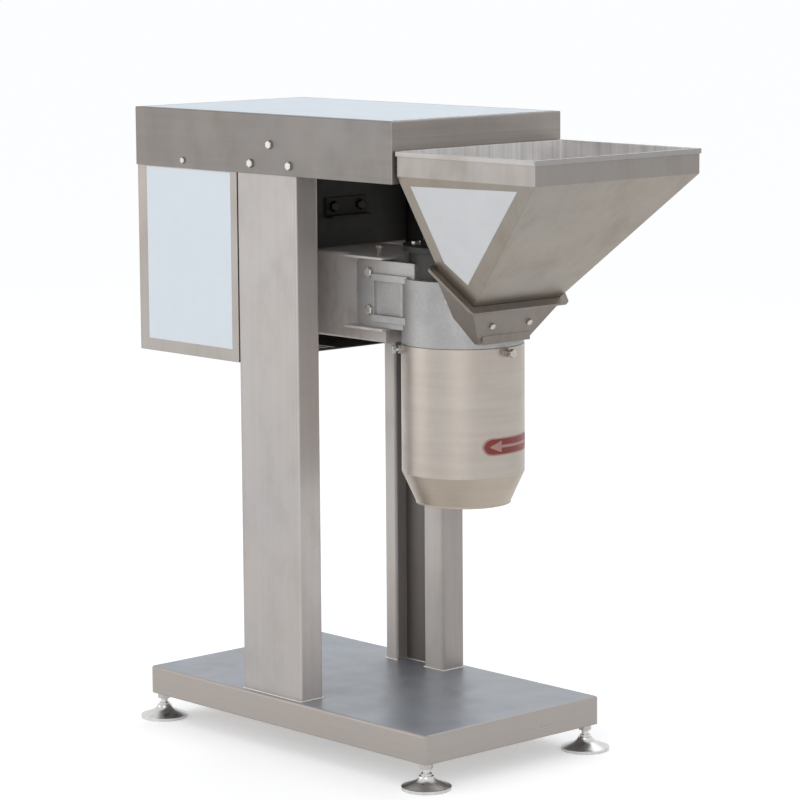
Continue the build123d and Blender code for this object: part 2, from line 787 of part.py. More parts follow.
# Floor of the motor cover, resting on its lip, with air slots under the fan
with BuildPart() as motor_cover_floor:
    floor_length = motor_cover_length - cover_sheet
    with BuildSketch(Plane.XY.offset(motor_cover_bottom + cover_sheet)):
        with Locations((motor_cover_x + cover_sheet / 2, 0)):
            floor_width = 2 * motor_cover_y - 2 * cover_sheet - 2 * motor_cover_floor_gap
            Rectangle(floor_length - 2 * cover_bend, floor_width)
        with Locations((motor_x, 0)):
            with GridLocations(vent_slot_spacing, vent_slot_pitch, 2, vent_slot_count):
                SlotOverall(vent_slot_length, vent_slot_width, mode=Mode.SUBTRACT)
    extrude(amount=cover_sheet)
motor_cover_floor.part.label = "motor_cover_floor"
export_step(motor_cover_floor.part, "parts/motor_cover_floor.step")

# Cable gland through the side panel of the motor cover, under the switch
with BuildPart() as cable_gland:
    with BuildSketch(Plane.XZ.offset(-side_panel_inner_y)):
        with Locations((switch_x, gland_z)):
            RegularPolygon(gland_flats / 2, 6, major_radius=False)
    extrude(amount=gland_nut_height)
    with BuildSketch(Plane.XZ.offset(-side_panel_inner_y)):
        with Locations((switch_x, gland_z)):
            Circle(gland_radius)
    extrude(amount=-cover_sheet)
    with BuildSketch(Plane.XZ.offset(-motor_cover_y)):
        with Locations((switch_x, gland_z)):
            RegularPolygon(gland_flats / 2, 6, major_radius=False)
    extrude(amount=-gland_nut_height)
    with BuildSketch(Plane.XZ.offset(-motor_cover_y)):
        with Locations((switch_x, gland_z)):
            Circle(gland_cap_radius)
    extrude(amount=-gland_stand)
    fillet(cable_gland.faces().sort_by(Axis.Y)[-1].edges(), gland_cap_edge)
    with BuildSketch(Plane.XZ.offset(-side_panel_inner_y + gland_nut_height)):
        with Locations((switch_x, gland_z)):
            Circle(gland_bore_radius)
    extrude(amount=-gland_nut_height - cover_sheet - gland_stand, mode=Mode.SUBTRACT)
cable_gland.part.label = "cable_gland"
export_step(cable_gland.part, "parts/cable_gland.step")

# Switch box with start and stop buttons on the far side of the motor cover
switch_face_y = motor_cover_y + switch_depth
button_places = {"start": button_spacing / 2, "stop": -button_spacing / 2}
with BuildPart() as switch_box:
    with BuildSketch(Plane.XZ.offset(-motor_cover_y)):
        with Locations((switch_x, switch_z)):
            RectangleRounded(switch_width, switch_height, switch_corner)
    extrude(amount=-switch_depth)
    fillet(switch_box.faces().sort_by(Axis.Y)[-1].edges(), switch_edge)
    with BuildSketch(Plane.XZ.offset(-motor_cover_y - switch_wall)):
        with Locations((switch_x, switch_z)):
            inner_corner = switch_corner - switch_wall
            inner_width = switch_width - 2 * switch_wall
            RectangleRounded(inner_width, switch_height - 2 * switch_wall, inner_corner)
    extrude(amount=-switch_depth + 2 * switch_wall, mode=Mode.SUBTRACT)
    with BuildSketch(Plane.XZ.offset(-motor_cover_y)):
        with Locations((switch_x, switch_z)):
            Circle(switch_cable_radius)
    extrude(amount=-switch_wall, mode=Mode.SUBTRACT)
    with BuildSketch(Plane.XZ.offset(-switch_face_y)):
        with Locations(*[(switch_x, switch_z + rise) for rise in button_places.values()]):
            Circle(button_radius + button_fit)
    extrude(amount=switch_wall, mode=Mode.SUBTRACT)
switch_box.part.label = "switch_box"
export_step(switch_box.part, "parts/switch_box.step")

for button_name, rise in button_places.items():
    with BuildPart() as button:
        with BuildSketch(Plane.XZ.offset(-switch_face_y - button_stand)):
            with Locations((switch_x, switch_z + rise)):
                Circle(button_radius)
        extrude(amount=button_stand + button_depth)
        fillet(button.faces().sort_by(Axis.Y)[-1].edges(), button_edge)
    button.part.label = f"{button_name}_button"
    export_step(button.part, f"parts/{button_name}_button.step")

# Belt cover, a box open below
cover_length = cover_front_x - cover_rear_x
cover_x = (cover_front_x + cover_rear_x) / 2
with BuildPart() as belt_cover:
    with BuildSketch(Plane.XY.offset(deck_z)):
        with Locations((cover_x, 0)):
            RectangleRounded(cover_length, 2 * cover_side_y, cover_bend)
    extrude(amount=cover_height)
    fillet(belt_cover.faces().sort_by(Axis.Z)[-1].edges(), cover_top_bend)
    with BuildSketch(Plane.XY.offset(deck_z)):
        with Locations((cover_x, 0)):
            inner_length = cover_length - 2 * cover_sheet
            RectangleRounded(inner_length, 2 * cover_side_y - 2 * cover_sheet, cover_bend - cover_sheet)
    extrude(amount=cover_height - cover_sheet, mode=Mode.SUBTRACT)
    with BuildSketch(Plane.XZ.offset(cover_side_y)):
        with Locations(*[(column_x + x, deck_z + z) for x, z in cover_bolt_places]):
            Circle(cover_bolt_diameter / 2)
        with Locations((small_bolt_x, small_bolt_z)):
            Circle(small_bolt_diameter / 2)
    extrude(amount=-2 * cover_side_y, mode=Mode.SUBTRACT)
belt_cover.part.label = "belt_cover"
export_step(belt_cover.part, "parts/belt_cover.step")

cover_bolt = hex_bolt(cover_bolt_diameter, cover_bolt_flats, cover_bolt_head, cover_bolt_length)
small_bolt = hex_bolt(small_bolt_diameter, small_bolt_flats, small_bolt_head, small_bolt_length)
with BuildPart() as cover_bolts:
    for side in (-1, 1):
        for x, z in cover_bolt_places:
            with Locations(facing(column_x + x, side * cover_side_y, deck_z + z, (0, side, 0))):
                add(cover_bolt)
        with Locations(facing(small_bolt_x, side * cover_side_y, small_bolt_z, (0, side, 0))):
            add(small_bolt)
cover_bolts.part.label = "cover_bolts"
export_step(cover_bolts.part, "parts/cover_bolts.step")

# Floor under the belts, with upturned edges inside the belt cover
belt_floor_y = cover_side_y - cover_sheet - motor_cover_gap
belt_floor_front = cover_front_x - cover_sheet - motor_cover_gap
belt_floor_step = column_x + column_width / 2
belt_floor_neck_x = (guard_rear_x + belt_floor_step) / 2
belt_floor_tray_x = (belt_floor_step + belt_floor_front) / 2
belt_floor_tray_length = belt_floor_front - belt_floor_step
with BuildPart() as belt_floor:
    with BuildSketch(Plane.XY.offset(deck_z)):
        with Locations((belt_floor_tray_x, 0)):
            Rectangle(belt_floor_tray_length, 2 * belt_floor_y)
    extrude(amount=floor_flange)
    front_corners = belt_floor.edges().filter_by(Axis.Z).group_by(Axis.X)[-1]
    fillet(front_corners, cover_bend)
    with BuildSketch(Plane.XY.offset(deck_z + cover_sheet)):
        with Locations((belt_floor_tray_x - cover_sheet, 0)):
            Rectangle(belt_floor_tray_length, 2 * belt_floor_y - 2 * cover_sheet)
    extrude(amount=floor_flange, mode=Mode.SUBTRACT)
    with BuildSketch(Plane.XY.offset(deck_z)):
        with Locations((belt_floor_neck_x, 0)):
            Rectangle(belt_floor_step - guard_rear_x, 2 * column_inner_y)
    extrude(amount=cover_sheet)
    with BuildSketch(Plane.XY.offset(deck_z)):
        with Locations((spindle_x, 0)):
            Circle(bearing_tube_radius)
    extrude(amount=cover_sheet, mode=Mode.SUBTRACT)
belt_floor.part.label = "belt_floor"
export_step(belt_floor.part, "parts/belt_floor.step")

# Motor housing with cooling fins and feet
motor_side_plane = Plane.XY.offset(motor_body_bottom)
terminal_z = motor_foot_z + terminal_box_rise
with BuildPart() as motor_body:
    with BuildSketch(motor_side_plane):
        with Locations((motor_x, 0)):
            Circle(motor_body_radius)
            with PolarLocations((motor_bore_radius + motor_fin_radius) / 2, motor_fin_count):
                Rectangle(motor_fin_radius - motor_bore_radius, motor_fin_width)
    extrude(amount=motor_body_length)
    with BuildSketch(Plane.XY.offset(motor_foot_z - motor_foot_pitch / 2 - motor_foot_width / 2)):
        foot_length = motor_foot_spacing / 2 + motor_foot_width / 2 - motor_foot_inner
        motor_foot_y = motor_foot_inner + foot_length / 2
        web_length = motor_axis_height - motor_body_radius / 2
        with Locations((motor_plate_rear_x, motor_foot_y), (motor_plate_rear_x, -motor_foot_y)):
            Rectangle(motor_foot_thickness, foot_length, align=(Align.MAX, Align.CENTER))
        web_y = motor_foot_inner + motor_foot_thickness / 2
        with Locations((motor_plate_rear_x, web_y), (motor_plate_rear_x, -web_y)):
            Rectangle(web_length, motor_foot_thickness, align=(Align.MAX, Align.CENTER))
    extrude(amount=motor_foot_pitch + motor_foot_width)
    with BuildSketch(Plane.YZ.offset(motor_plate_rear_x)):
        with Locations(*foot_bolt_places):
            Circle(foot_bolt_diameter / 2)
    extrude(amount=-motor_foot_thickness, mode=Mode.SUBTRACT)
    with BuildSketch(Plane.YZ.offset(motor_x - motor_fin_radius)):
        with Locations((0, terminal_z)):
            pad_width = terminal_box_width - 2 * terminal_pad_inset
            Rectangle(pad_width, terminal_box_height - 2 * terminal_pad_inset)
    extrude(amount=motor_fin_radius - motor_bore_radius)
    with BuildSketch(motor_side_plane):
        with Locations((motor_x, 0)):
            Circle(motor_bore_radius)
    extrude(amount=motor_body_length, mode=Mode.SUBTRACT)
motor_body.part.label = "motor_body"
export_step(motor_body.part, "parts/motor_body.step")

foot_bolt_length = motor_foot_thickness + motor_plate_thickness
foot_bolt = hex_bolt(foot_bolt_diameter, foot_bolt_flats, foot_bolt_head, foot_bolt_length)
with BuildPart() as motor_foot_bolts:
    for bolt_y, bolt_z in foot_bolt_places:
        foot_seat_x = motor_plate_rear_x - motor_foot_thickness
        with Locations(facing(foot_seat_x, bolt_y, bolt_z, (-1, 0, 0))):
            add(foot_bolt)
motor_foot_bolts.part.label = "motor_foot_bolts"
export_step(motor_foot_bolts.part, "parts/motor_foot_bolts.step")

# Motor end shields, with the shaft bearings in their bores
shield_bore = motor_journal_radius + running_clearance
motor_profile_plane = Plane(origin=(motor_x, 0, 0), x_dir=(1, 0, 0), z_dir=(0, -1, 0))
motor_axis = Axis((motor_x, 0, 0), (0, 0, 1))
with BuildPart() as motor_end_shields:
    with BuildSketch(motor_profile_plane):
        with BuildLine():
            Polyline(
                (shield_bore, motor_body_top),
                (motor_shield_radius, motor_body_top),
                (motor_shield_radius, motor_body_top + motor_shield_length),
                (motor_nose_base_radius, motor_body_top + motor_shield_length),
                (motor_nose_radius, motor_nose_top),
                (shield_bore, motor_nose_top),
                close=True,
            )
        make_face()
        with BuildLine():
            Polyline(
                (shield_bore, motor_shield_bottom),
                (motor_shield_radius, motor_shield_bottom),
                (motor_shield_radius, motor_body_bottom),
                (shield_bore, motor_body_bottom),
                close=True,
            )
        make_face()
    revolve(axis=motor_axis)
motor_end_shields.part.label = "motor_end_shields"
export_step(motor_end_shields.part, "parts/motor_end_shields.step")

# Wound stator inside the motor housing
with BuildPart() as motor_stator:
    with BuildSketch(Plane.XY.offset(motor_body_bottom + motor_winding_gap)):
        with Locations((motor_x, 0)):
            Circle(motor_bore_radius)
            Circle(motor_stator_bore, mode=Mode.SUBTRACT)
    extrude(amount=motor_body_length - 2 * motor_winding_gap)
motor_stator.part.label = "motor_stator"
export_step(motor_stator.part, "parts/motor_stator.step")

# Motor shaft with its rotor core
fan_top = motor_shield_bottom - motor_fan_gap
fan_bottom = fan_top - motor_fan_height
with BuildPart() as motor_shaft:
    with BuildSketch(motor_profile_plane):
        with BuildLine():
            Polyline(
                (0, fan_bottom),
                (motor_shaft_radius, fan_bottom),
                (motor_shaft_radius, motor_shield_bottom - motor_journal_drop),
                (motor_journal_radius, motor_shield_bottom - motor_journal_drop),
                (motor_journal_radius, motor_body_bottom + motor_core_gap),
                (motor_core_radius, motor_body_bottom + motor_core_gap),
                (motor_core_radius, motor_body_top - motor_core_gap),
                (motor_journal_radius, motor_body_top - motor_core_gap),
                (motor_journal_radius, motor_nose_top + motor_journal_rise),
                (motor_shaft_radius, motor_nose_top + motor_journal_rise),
                (motor_shaft_radius, motor_shaft_top),
                (0, motor_shaft_top),
                close=True,
            )
        make_face()
    revolve(axis=motor_axis)
    chamfer(motor_shaft.faces().sort_by(Axis.Z)[-1].edges(), shaft_end_chamfer)
motor_shaft.part.label = "motor_shaft"
export_step(motor_shaft.part, "parts/motor_shaft.step")

# Motor fan and its cowl
with BuildPart() as motor_fan:
    with BuildSketch(Plane.XY.offset(fan_bottom)):
        with Locations((motor_x, 0)):
            Circle(motor_fan_hub_radius)
            fan_blade_length = motor_fan_radius - motor_fan_root_radius
            with PolarLocations(motor_fan_root_radius + fan_blade_length / 2, motor_fan_blades):
                Rectangle(fan_blade_length, motor_fan_sheet)
    extrude(amount=motor_fan_height)
    with BuildSketch(Plane.XY.offset(fan_top)):
        with Locations((motor_x, 0)):
            Circle(motor_fan_radius)
    extrude(amount=-motor_fan_sheet)
    with BuildSketch(Plane.XY.offset(fan_bottom)):
        with Locations((motor_x, 0)):
            Circle(motor_shaft_radius)
    extrude(amount=motor_fan_height, mode=Mode.SUBTRACT)
motor_fan.part.label = "motor_fan"
export_step(motor_fan.part, "parts/motor_fan.step")

with BuildPart() as motor_fan_cowl:
    with BuildSketch(Plane.XY.offset(cowl_bottom)):
        with Locations((motor_x, 0)):
            Circle(motor_cowl_radius)
    extrude(amount=motor_cowl_length)
    fillet(motor_fan_cowl.faces().sort_by(Axis.Z)[0].edges(), motor_cowl_round)
    offset(amount=-motor_cowl_sheet, openings=motor_fan_cowl.faces().sort_by(Axis.Z)[-1])
    with BuildSketch(Plane.XY.offset(cowl_bottom)):
        with Locations((motor_x, 0)):
            with PolarLocations(cowl_slot_circle, cowl_slot_count):
                SlotOverall(cowl_slot_length, cowl_slot_width)
    extrude(amount=motor_cowl_sheet, mode=Mode.SUBTRACT)
    with BuildSketch(Plane.XY.offset(motor_body_bottom)):
        with Locations((motor_x, 0)):
            Circle(motor_cowl_radius)
            Circle(motor_shield_radius, mode=Mode.SUBTRACT)
    extrude(amount=-motor_cowl_ring_height)
motor_fan_cowl.part.label = "motor_fan_cowl"
export_step(motor_fan_cowl.part, "parts/motor_fan_cowl.step")

# Terminal box on the rear of the motor
terminal_front_x = motor_x - motor_fin_radius
with BuildPart() as terminal_box:
    with BuildSketch(Plane.YZ.offset(terminal_front_x)):
        with Locations((0, terminal_z)):
            RectangleRounded(terminal_box_width, terminal_box_height, terminal_box_corner)
    extrude(amount=-terminal_box_depth)
    fillet(terminal_box.faces().sort_by(Axis.X)[0].edges(), terminal_box_edge)
    with BuildSketch(Plane.YZ.offset(terminal_front_x - terminal_box_wall)):
        with Locations((0, terminal_z)):
            inner_width = terminal_box_width - 2 * terminal_box_wall
            inner_height = terminal_box_height - 2 * terminal_box_wall
            RectangleRounded(inner_width, inner_height, terminal_box_corner - terminal_box_wall)
    extrude(amount=-terminal_box_depth + 2 * terminal_box_wall, mode=Mode.SUBTRACT)
terminal_box.part.label = "terminal_box"
export_step(terminal_box.part, "parts/terminal_box.step")


# Grooved pulley with its hub below
def pulley_profile(radius, bore, hub_radius, hub_length):
    """Half section of a pulley from its bore outwards, centred on the belt plane."""
    half_width = pulley_width / 2
    groove_bottom = groove_top - 2 * groove_depth * tan(radians(groove_half_angle))
    points = [(bore, half_width), (radius, half_width)]
    for index in range(belt_count):
        groove_z = (belt_count - 1) / 2 * groove_pitch - index * groove_pitch
        points.append((radius, groove_z + groove_top / 2))
        points.append((radius - groove_depth, groove_z + groove_bottom / 2))
        points.append((radius - groove_depth, groove_z - groove_bottom / 2))
        points.append((radius, groove_z - groove_top / 2))
    points.append((radius, -half_width))
    points.append((hub_radius, -half_width))
    points.append((hub_radius, -half_width - hub_length))
    points.append((bore, -half_width - hub_length))
    return points


pulley_places = {
    "motor_pulley": (motor_x, motor_pulley_radius, motor_shaft_radius, motor_pulley_hub_radius),
    "spindle_pulley": (spindle_x, spindle_pulley_radius, pulley_seat_radius, spindle_pulley_hub_radius),
}
for pulley_name, (pulley_x, radius, bore, hub_radius) in pulley_places.items():
    with BuildPart() as pulley:
        pulley_plane = Plane(origin=(pulley_x, 0, drive_z), x_dir=(1, 0, 0), z_dir=(0, -1, 0))
        with BuildSketch(pulley_plane):
            with BuildLine():
                Polyline(*pulley_profile(radius, bore, hub_radius, pulley_hub_length), close=True)
            make_face()
        revolve(axis=Axis((pulley_x, 0, 0), (0, 0, 1)))
    pulley.part.label = pulley_name
    export_step(pulley.part, f"parts/{pulley_name}.step")

# V-belts around both pulleys
belt_centre_distance = spindle_x - motor_x
belt_wrap = asin((motor_pulley_radius - spindle_pulley_radius) / belt_centre_distance)


def belt_outline(inset):
    """Face inside a belt line that lies inset mm under the pulley rims."""
    large = motor_pulley_radius - inset
    small = spindle_pulley_radius - inset
    rise = sin(belt_wrap)
    run = cos(belt_wrap)
    large_top = (motor_x + large * rise, large * run)
    large_low = (motor_x + large * rise, -large * run)
    small_top = (spindle_x + small * rise, small * run)
    small_low = (spindle_x + small * rise, -small * run)
    with BuildSketch() as outline:
        with BuildLine():
            Line(large_top, small_top)
            ThreePointArc(small_top, (spindle_x + small, 0), small_low)
            Line(small_low, large_low)
            ThreePointArc(large_low, (motor_x - large, 0), large_top)
        make_face()
    return outline.sketch


belt_slope = tan(radians(groove_half_angle))
belt_bottom_inset = groove_depth - belt_gap
belt_top_inset = belt_bottom_inset - belt_height
belt_top_half = groove_top / 2 - belt_top_inset * belt_slope - belt_gap / cos(radians(groove_half_angle))
belt_bottom_half = belt_top_half - belt_height * belt_slope
belt_levels = [
    drive_z + ((belt_count - 1) / 2 - index) * groove_pitch
    for index in range(belt_count)
]
with BuildPart() as drive_belts:
    for belt_z in belt_levels:
        with BuildSketch(Plane.XY.offset(belt_z - belt_top_half)):
            add(belt_outline(belt_top_inset))
        extrude(amount=2 * belt_top_half)
    for belt_z in belt_levels:
        with BuildSketch(Plane.XY.offset(belt_z - belt_bottom_half)):
            add(belt_outline(belt_bottom_inset))
        extrude(amount=2 * belt_bottom_half, mode=Mode.SUBTRACT)
        for side in (-1, 1):
            with BuildSketch(Plane.XY.offset(belt_z + side * belt_bottom_half)):
                add(belt_outline(belt_bottom_inset))
            with BuildSketch(Plane.XY.offset(belt_z + side * belt_top_half)):
                add(belt_outline(belt_top_inset))
            loft(mode=Mode.SUBTRACT)
drive_belts.part.label = "drive_belts"
export_step(drive_belts.part, "parts/drive_belts.step")

# Hopper outline: leaning faces that end on the sloping inlet plane of the chute
hopper_rear_x = cover_front_x + hopper_gap
hopper_front_x = hopper_rear_x + hopper_length
hopper_x = (hopper_rear_x + hopper_front_x) / 2
hopper_top = cover_top - hopper_drop
hopper_band_bottom = hopper_top - hopper_band
rear_slope = tan(radians(hopper_rear_lean))
side_slope = tan(radians(hopper_side_lean))
front_slope = tan(radians(hopper_front_lean))
inlet_fall = tan(radians(inlet_slope))
inlet_x = hopper_rear_x + rear_slope * inlet_depth
inlet_z = hopper_band_bottom - inlet_depth
front_top_x = hopper_front_x - front_slope * inlet_depth
inlet_front_x = (front_top_x + front_slope * inlet_fall * inlet_x) / (1 + front_slope * inlet_fall)
inlet_front_z = inlet_z - inlet_fall * (inlet_front_x - inlet_x)
outlet_length = (inlet_front_x - inlet_x) / cos(radians(inlet_slope))
outlet_rear_half = hopper_width / 2 - side_slope * inlet_depth
outlet_front_half = hopper_width / 2 - side_slope * (hopper_band_bottom - inlet_front_z)
inlet_plane = Plane(
    origin=(inlet_x, 0, inlet_z),
    x_dir=(cos(radians(inlet_slope)), 0, -sin(radians(inlet_slope))),
    z_dir=(sin(radians(inlet_slope)), 0, cos(radians(inlet_slope))),
)


def inlet_outline(margin):
    """Corners of the hopper's outlet in the inlet plane, moved outwards by margin."""
    lean = (outlet_rear_half - outlet_front_half) / outlet_length
    side_margin = margin * sqrt(1 + lean**2)
    rear_half = outlet_rear_half + margin * lean + side_margin
    front_half = outlet_front_half - margin * lean + side_margin
    front_u = outlet_length + margin
    return [(-margin, -rear_half), (front_u, -front_half), (front_u, front_half), (-margin, rear_half)]


def hopper_section(depth, sheet):
    """Corners of the hopper at a depth under its band, moved inwards by the sheet."""
    rear_x = hopper_rear_x + rear_slope * depth + sheet / cos(radians(hopper_rear_lean))
    front_x = hopper_front_x - front_slope * depth - sheet / cos(radians(hopper_front_lean))
    half = hopper_width / 2 - side_slope * depth - sheet / cos(radians(hopper_side_lean))
    return [(rear_x, -half), (front_x, -half), (front_x, half), (rear_x, half)]


def hopper_funnel(sheet):
    """Solid funnel from the band down to a level below the inlet plane."""
    depth = hopper_band_bottom - inlet_front_z + 2 * hopper_seat_depth
    with BuildPart() as funnel:
        for level in (0, depth):
            with BuildSketch(Plane.XY.offset(hopper_band_bottom - level)):
                with BuildLine():
                    Polyline(*hopper_section(level, sheet), close=True)
                make_face()
        loft(ruled=True)
    return funnel.part


# Hopper: a straight band above a funnel that sits in the chute flange
with BuildPart() as hopper_body:
    with BuildSketch(Plane.XY.offset(hopper_band_bottom)):
        with Locations((hopper_x, 0)):
            Rectangle(hopper_length, hopper_width)
    extrude(amount=hopper_band)
    add(hopper_funnel(0))
    with BuildSketch(Plane.XY.offset(hopper_band_bottom)):
        with Locations((hopper_x, 0)):
            Rectangle(hopper_length - 2 * hopper_sheet, hopper_width - 2 * hopper_sheet)
    extrude(amount=hopper_band, mode=Mode.SUBTRACT)
    add(hopper_funnel(hopper_sheet), mode=Mode.SUBTRACT)
    split(bisect_by=inlet_plane.offset(-hopper_seat_depth), keep=Keep.TOP)
hopper_body.part.label = "hopper_body"
export_step(hopper_body.part, "parts/hopper_body.step")

# Hem around the mouth of the hopper
with BuildPart() as hopper_rim:
    with BuildSketch(Plane.XY.offset(hopper_top)):
        with Locations((hopper_x, 0)):
            rim_length = hopper_length + 2 * hopper_rim_sheet
            RectangleRounded(rim_length, hopper_width + 2 * hopper_rim_sheet, hopper_rim_sheet)
            Rectangle(hopper_length, hopper_width, mode=Mode.SUBTRACT)
    extrude(amount=-hopper_rim_height)
hopper_rim.part.label = "hopper_rim"
export_step(hopper_rim.part, "parts/hopper_rim.step")

# Feed chute from the inlet plane down to the window in the cutter housing
chute_foot_z = housing_bottom + chute_foot_rise
chute_foot_front_x = spindle_x + chute_foot_front
chute_foot_rear_x = chute_foot_front_x - chute_foot_depth


def chute_form(margin, inset):
    """Solid between the inlet outline and the foot, moved inwards by inset at the foot."""
    rear_x = chute_foot_rear_x + inset
    front_x = chute_foot_front_x - inset
    half = chute_foot_width / 2 - inset
    with BuildPart() as form:
        with BuildSketch(inlet_plane.offset(-chute_flange_thickness)):
            with BuildLine():
                Polyline(*inlet_outline(margin), close=True)
            make_face()
        with BuildSketch(Plane.XY.offset(chute_foot_z + inset)):
            with BuildLine():
                Polyline((rear_x, -half), (front_x, -half), (front_x, half), (rear_x, half), close=True)
            make_face()
        loft(ruled=True)
    return form.part


chute_outer = chute_form(hopper_seat_gap + chute_wall, 0)
chute_passage = chute_form(hopper_seat_gap, chute_wall)
front_plate_foot = Vector(chute_foot_front_x, 0, chute_foot_z)
front_plate_head = inlet_plane.offset(-chute_flange_thickness).from_local_coords(
    Vector(outlet_length + hopper_seat_gap + chute_wall, 0, 0)
)
front_plate_run = (front_plate_head - front_plate_foot).normalized()
front_plate_normal = Vector(front_plate_run.Z, 0, -front_plate_run.X)
chute_bolt_seat = front_plate_foot + front_plate_run * (chute_bolt_rise / front_plate_run.Z)
chute_bolt_places = [
    facing(chute_bolt_seat.X, side * chute_bolt_spacing / 2, chute_bolt_seat.Z, front_plate_normal)
    for side in (-1, 1)
]
side_bolt_z = housing_bottom + chute_side_bolt_rise


def around_spindle(radius, angle, z):
    """A location at a radius and angle around the spindle, facing outwards."""
    direction = Vector(cos(radians(angle)), sin(radians(angle)), 0)
    return facing(spindle_x + radius * direction.X, radius * direction.Y, z, direction)


side_bolt_places = [
    around_spindle(housing_radius, side * chute_side_bolt_angle, side_bolt_z)
    for side in (-1, 1)
]
with BuildPart() as feed_chute:
    add(chute_outer)
    with BuildSketch(Plane.XY.offset(housing_top + chute_fit)):
        with Locations((spindle_x, 0)):
            Circle(housing_radius + chute_fit)
    extrude(amount=-2 * housing_height, mode=Mode.SUBTRACT)
    with BuildSketch(inlet_plane) as chute_flange:
        with BuildLine():
            Polyline(*inlet_outline(chute_flange_margin), close=True)
        make_face()
        fillet(chute_flange.vertices(), chute_flange_corner)
    extrude(amount=-chute_flange_thickness)
    with BuildSketch(inlet_plane):
        with BuildLine():
            Polyline(*inlet_outline(hopper_seat_gap), close=True)
        make_face()
    extrude(amount=-chute_flange_thickness, mode=Mode.SUBTRACT)
    add(chute_passage, mode=Mode.SUBTRACT)
    with Locations(*chute_bolt_places):
        Cylinder(chute_bolt_diameter / 2, 4 * chute_wall, mode=Mode.SUBTRACT)
feed_chute.part.label = "feed_chute"
export_step(feed_chute.part, "parts/feed_chute.step")

# Cutter housing: chamber, spigot for the drum, bearing boss and two cheeks
spigot_radius = housing_radius - spigot_step
spigot_bottom = housing_bottom - spigot_length
chamber_top = housing_top - housing_roof
cheek_inner_y = arm_width / 2 + cheek_fit
cheek_outer_y = cheek_inner_y + cheek_thickness
cheek_length = spindle_x - cheek_rear_x
cheek_z = (cheek_top + cheek_bottom) / 2
cheek_rib_rear_x = cheek_bolt_x + cheek_bolt_flats / sqrt(3) + cheek_rib_clearance
cheek_rib_high = cheek_top - cheek_rib_top_inset - cheek_rib_thickness / 2
cheek_rib_low = cheek_bottom + cheek_rib_bottom_inset + cheek_rib_thickness / 2
cheek_rib_length = spindle_x - cheek_rib_front_gap - cheek_rib_rear_x
boss_front_x = spindle_x + boss_flat
flange_bolt_places = [
    (spindle_x + flange_bolt_circle * cos(radians(angle)), flange_bolt_circle * sin(radians(angle)))
    for angle in flange_bolt_angles
]
with BuildPart() as cutter_housing:
    with BuildSketch(Plane.XY.offset(housing_bottom)):
        with Locations((spindle_x, 0)):
            Circle(housing_radius)
    extrude(amount=housing_height)
    with BuildSketch(Plane.XY.offset(spigot_bottom)):
        with Locations((spindle_x, 0)):
            Circle(spigot_radius)
    extrude(amount=spigot_length)
    with BuildSketch(Plane.XY.offset(housing_top)):
        with Locations((spindle_x, 0)):
            Circle(boss_radius)
        with Locations((boss_front_x, 0)):
            Rectangle(boss_radius, 2 * boss_radius, align=(Align.MIN, Align.CENTER), mode=Mode.SUBTRACT)
    extrude(amount=boss_height)
    for side in (-1, 1):
        with BuildSketch(Plane.XZ.offset(-side * cheek_inner_y)):
            with Locations((cheek_rear_x, cheek_z)):
                Rectangle(cheek_length, cheek_height, align=(Align.MIN, Align.CENTER))
        extrude(amount=-side * cheek_thickness)
    fillet(cutter_housing.edges().filter_by(Axis.Y).group_by(Axis.X)[0], cheek_corner)
    for side in (-1, 1):
        with BuildSketch(Plane.XZ.offset(-side * cheek_outer_y)):
            with Locations((cheek_rib_rear_x, cheek_rib_high), (cheek_rib_rear_x, cheek_rib_low)):
                Rectangle(cheek_rib_length, cheek_rib_thickness, align=(Align.MIN, Align.CENTER))
        extrude(amount=-side * cheek_rib_rise)
        with BuildSketch(Plane.XZ.offset(-side * cheek_outer_y)):
            with Locations((cheek_rib_rear_x, (cheek_rib_high + cheek_rib_low) / 2)):
                pocket_height = cheek_rib_high - cheek_rib_low - cheek_rib_thickness
                Rectangle(cheek_pocket_length, pocket_height, align=(Align.MIN, Align.CENTER))
        extrude(amount=side * cheek_pocket, mode=Mode.SUBTRACT)
    with BuildSketch(Plane.XZ.offset(cheek_outer_y + cheek_rib_rise)):
        with Locations((cheek_bolt_x, cheek_bolt_low), (cheek_bolt_x, cheek_bolt_high)):
            Circle(cheek_bolt_diameter / 2)
    extrude(amount=-2 * cheek_outer_y - 2 * cheek_rib_rise, mode=Mode.SUBTRACT)
    with BuildSketch(Plane.XY.offset(spigot_bottom)):
        with Locations((spindle_x, 0)):
            Circle(housing_inner_radius)
    extrude(amount=chamber_top - spigot_bottom, mode=Mode.SUBTRACT)
    with BuildSketch(Plane.XY.offset(chamber_top)):
        with Locations((spindle_x, 0)):
            Circle(seal_radius)
    extrude(amount=housing_roof, mode=Mode.SUBTRACT)
    with BuildSketch(Plane.XY.offset(housing_top)):
        with Locations((spindle_x, 0)):
            Circle(boss_cavity_radius)
    extrude(amount=boss_height, mode=Mode.SUBTRACT)
    with BuildSketch(Plane.XY.offset(boss_top)):
        with Locations(*flange_bolt_places):
            Circle(flange_bolt_diameter / 2)
    extrude(amount=-flange_bolt_depth, mode=Mode.SUBTRACT)
    add(chute_passage, mode=Mode.SUBTRACT)
    with BuildSketch(inlet_plane.offset(-chute_flange_thickness)):
        with BuildLine():
            Polyline(*inlet_outline(hopper_seat_gap), close=True)
        make_face()
    extrude(amount=housing_height, mode=Mode.SUBTRACT)
    with Locations(*side_bolt_places):
        Cylinder(chute_bolt_diameter / 2, 4 * housing_wall, mode=Mode.SUBTRACT)
cutter_housing.part.label = "cutter_housing"
export_step(cutter_housing.part, "parts/cutter_housing.step")

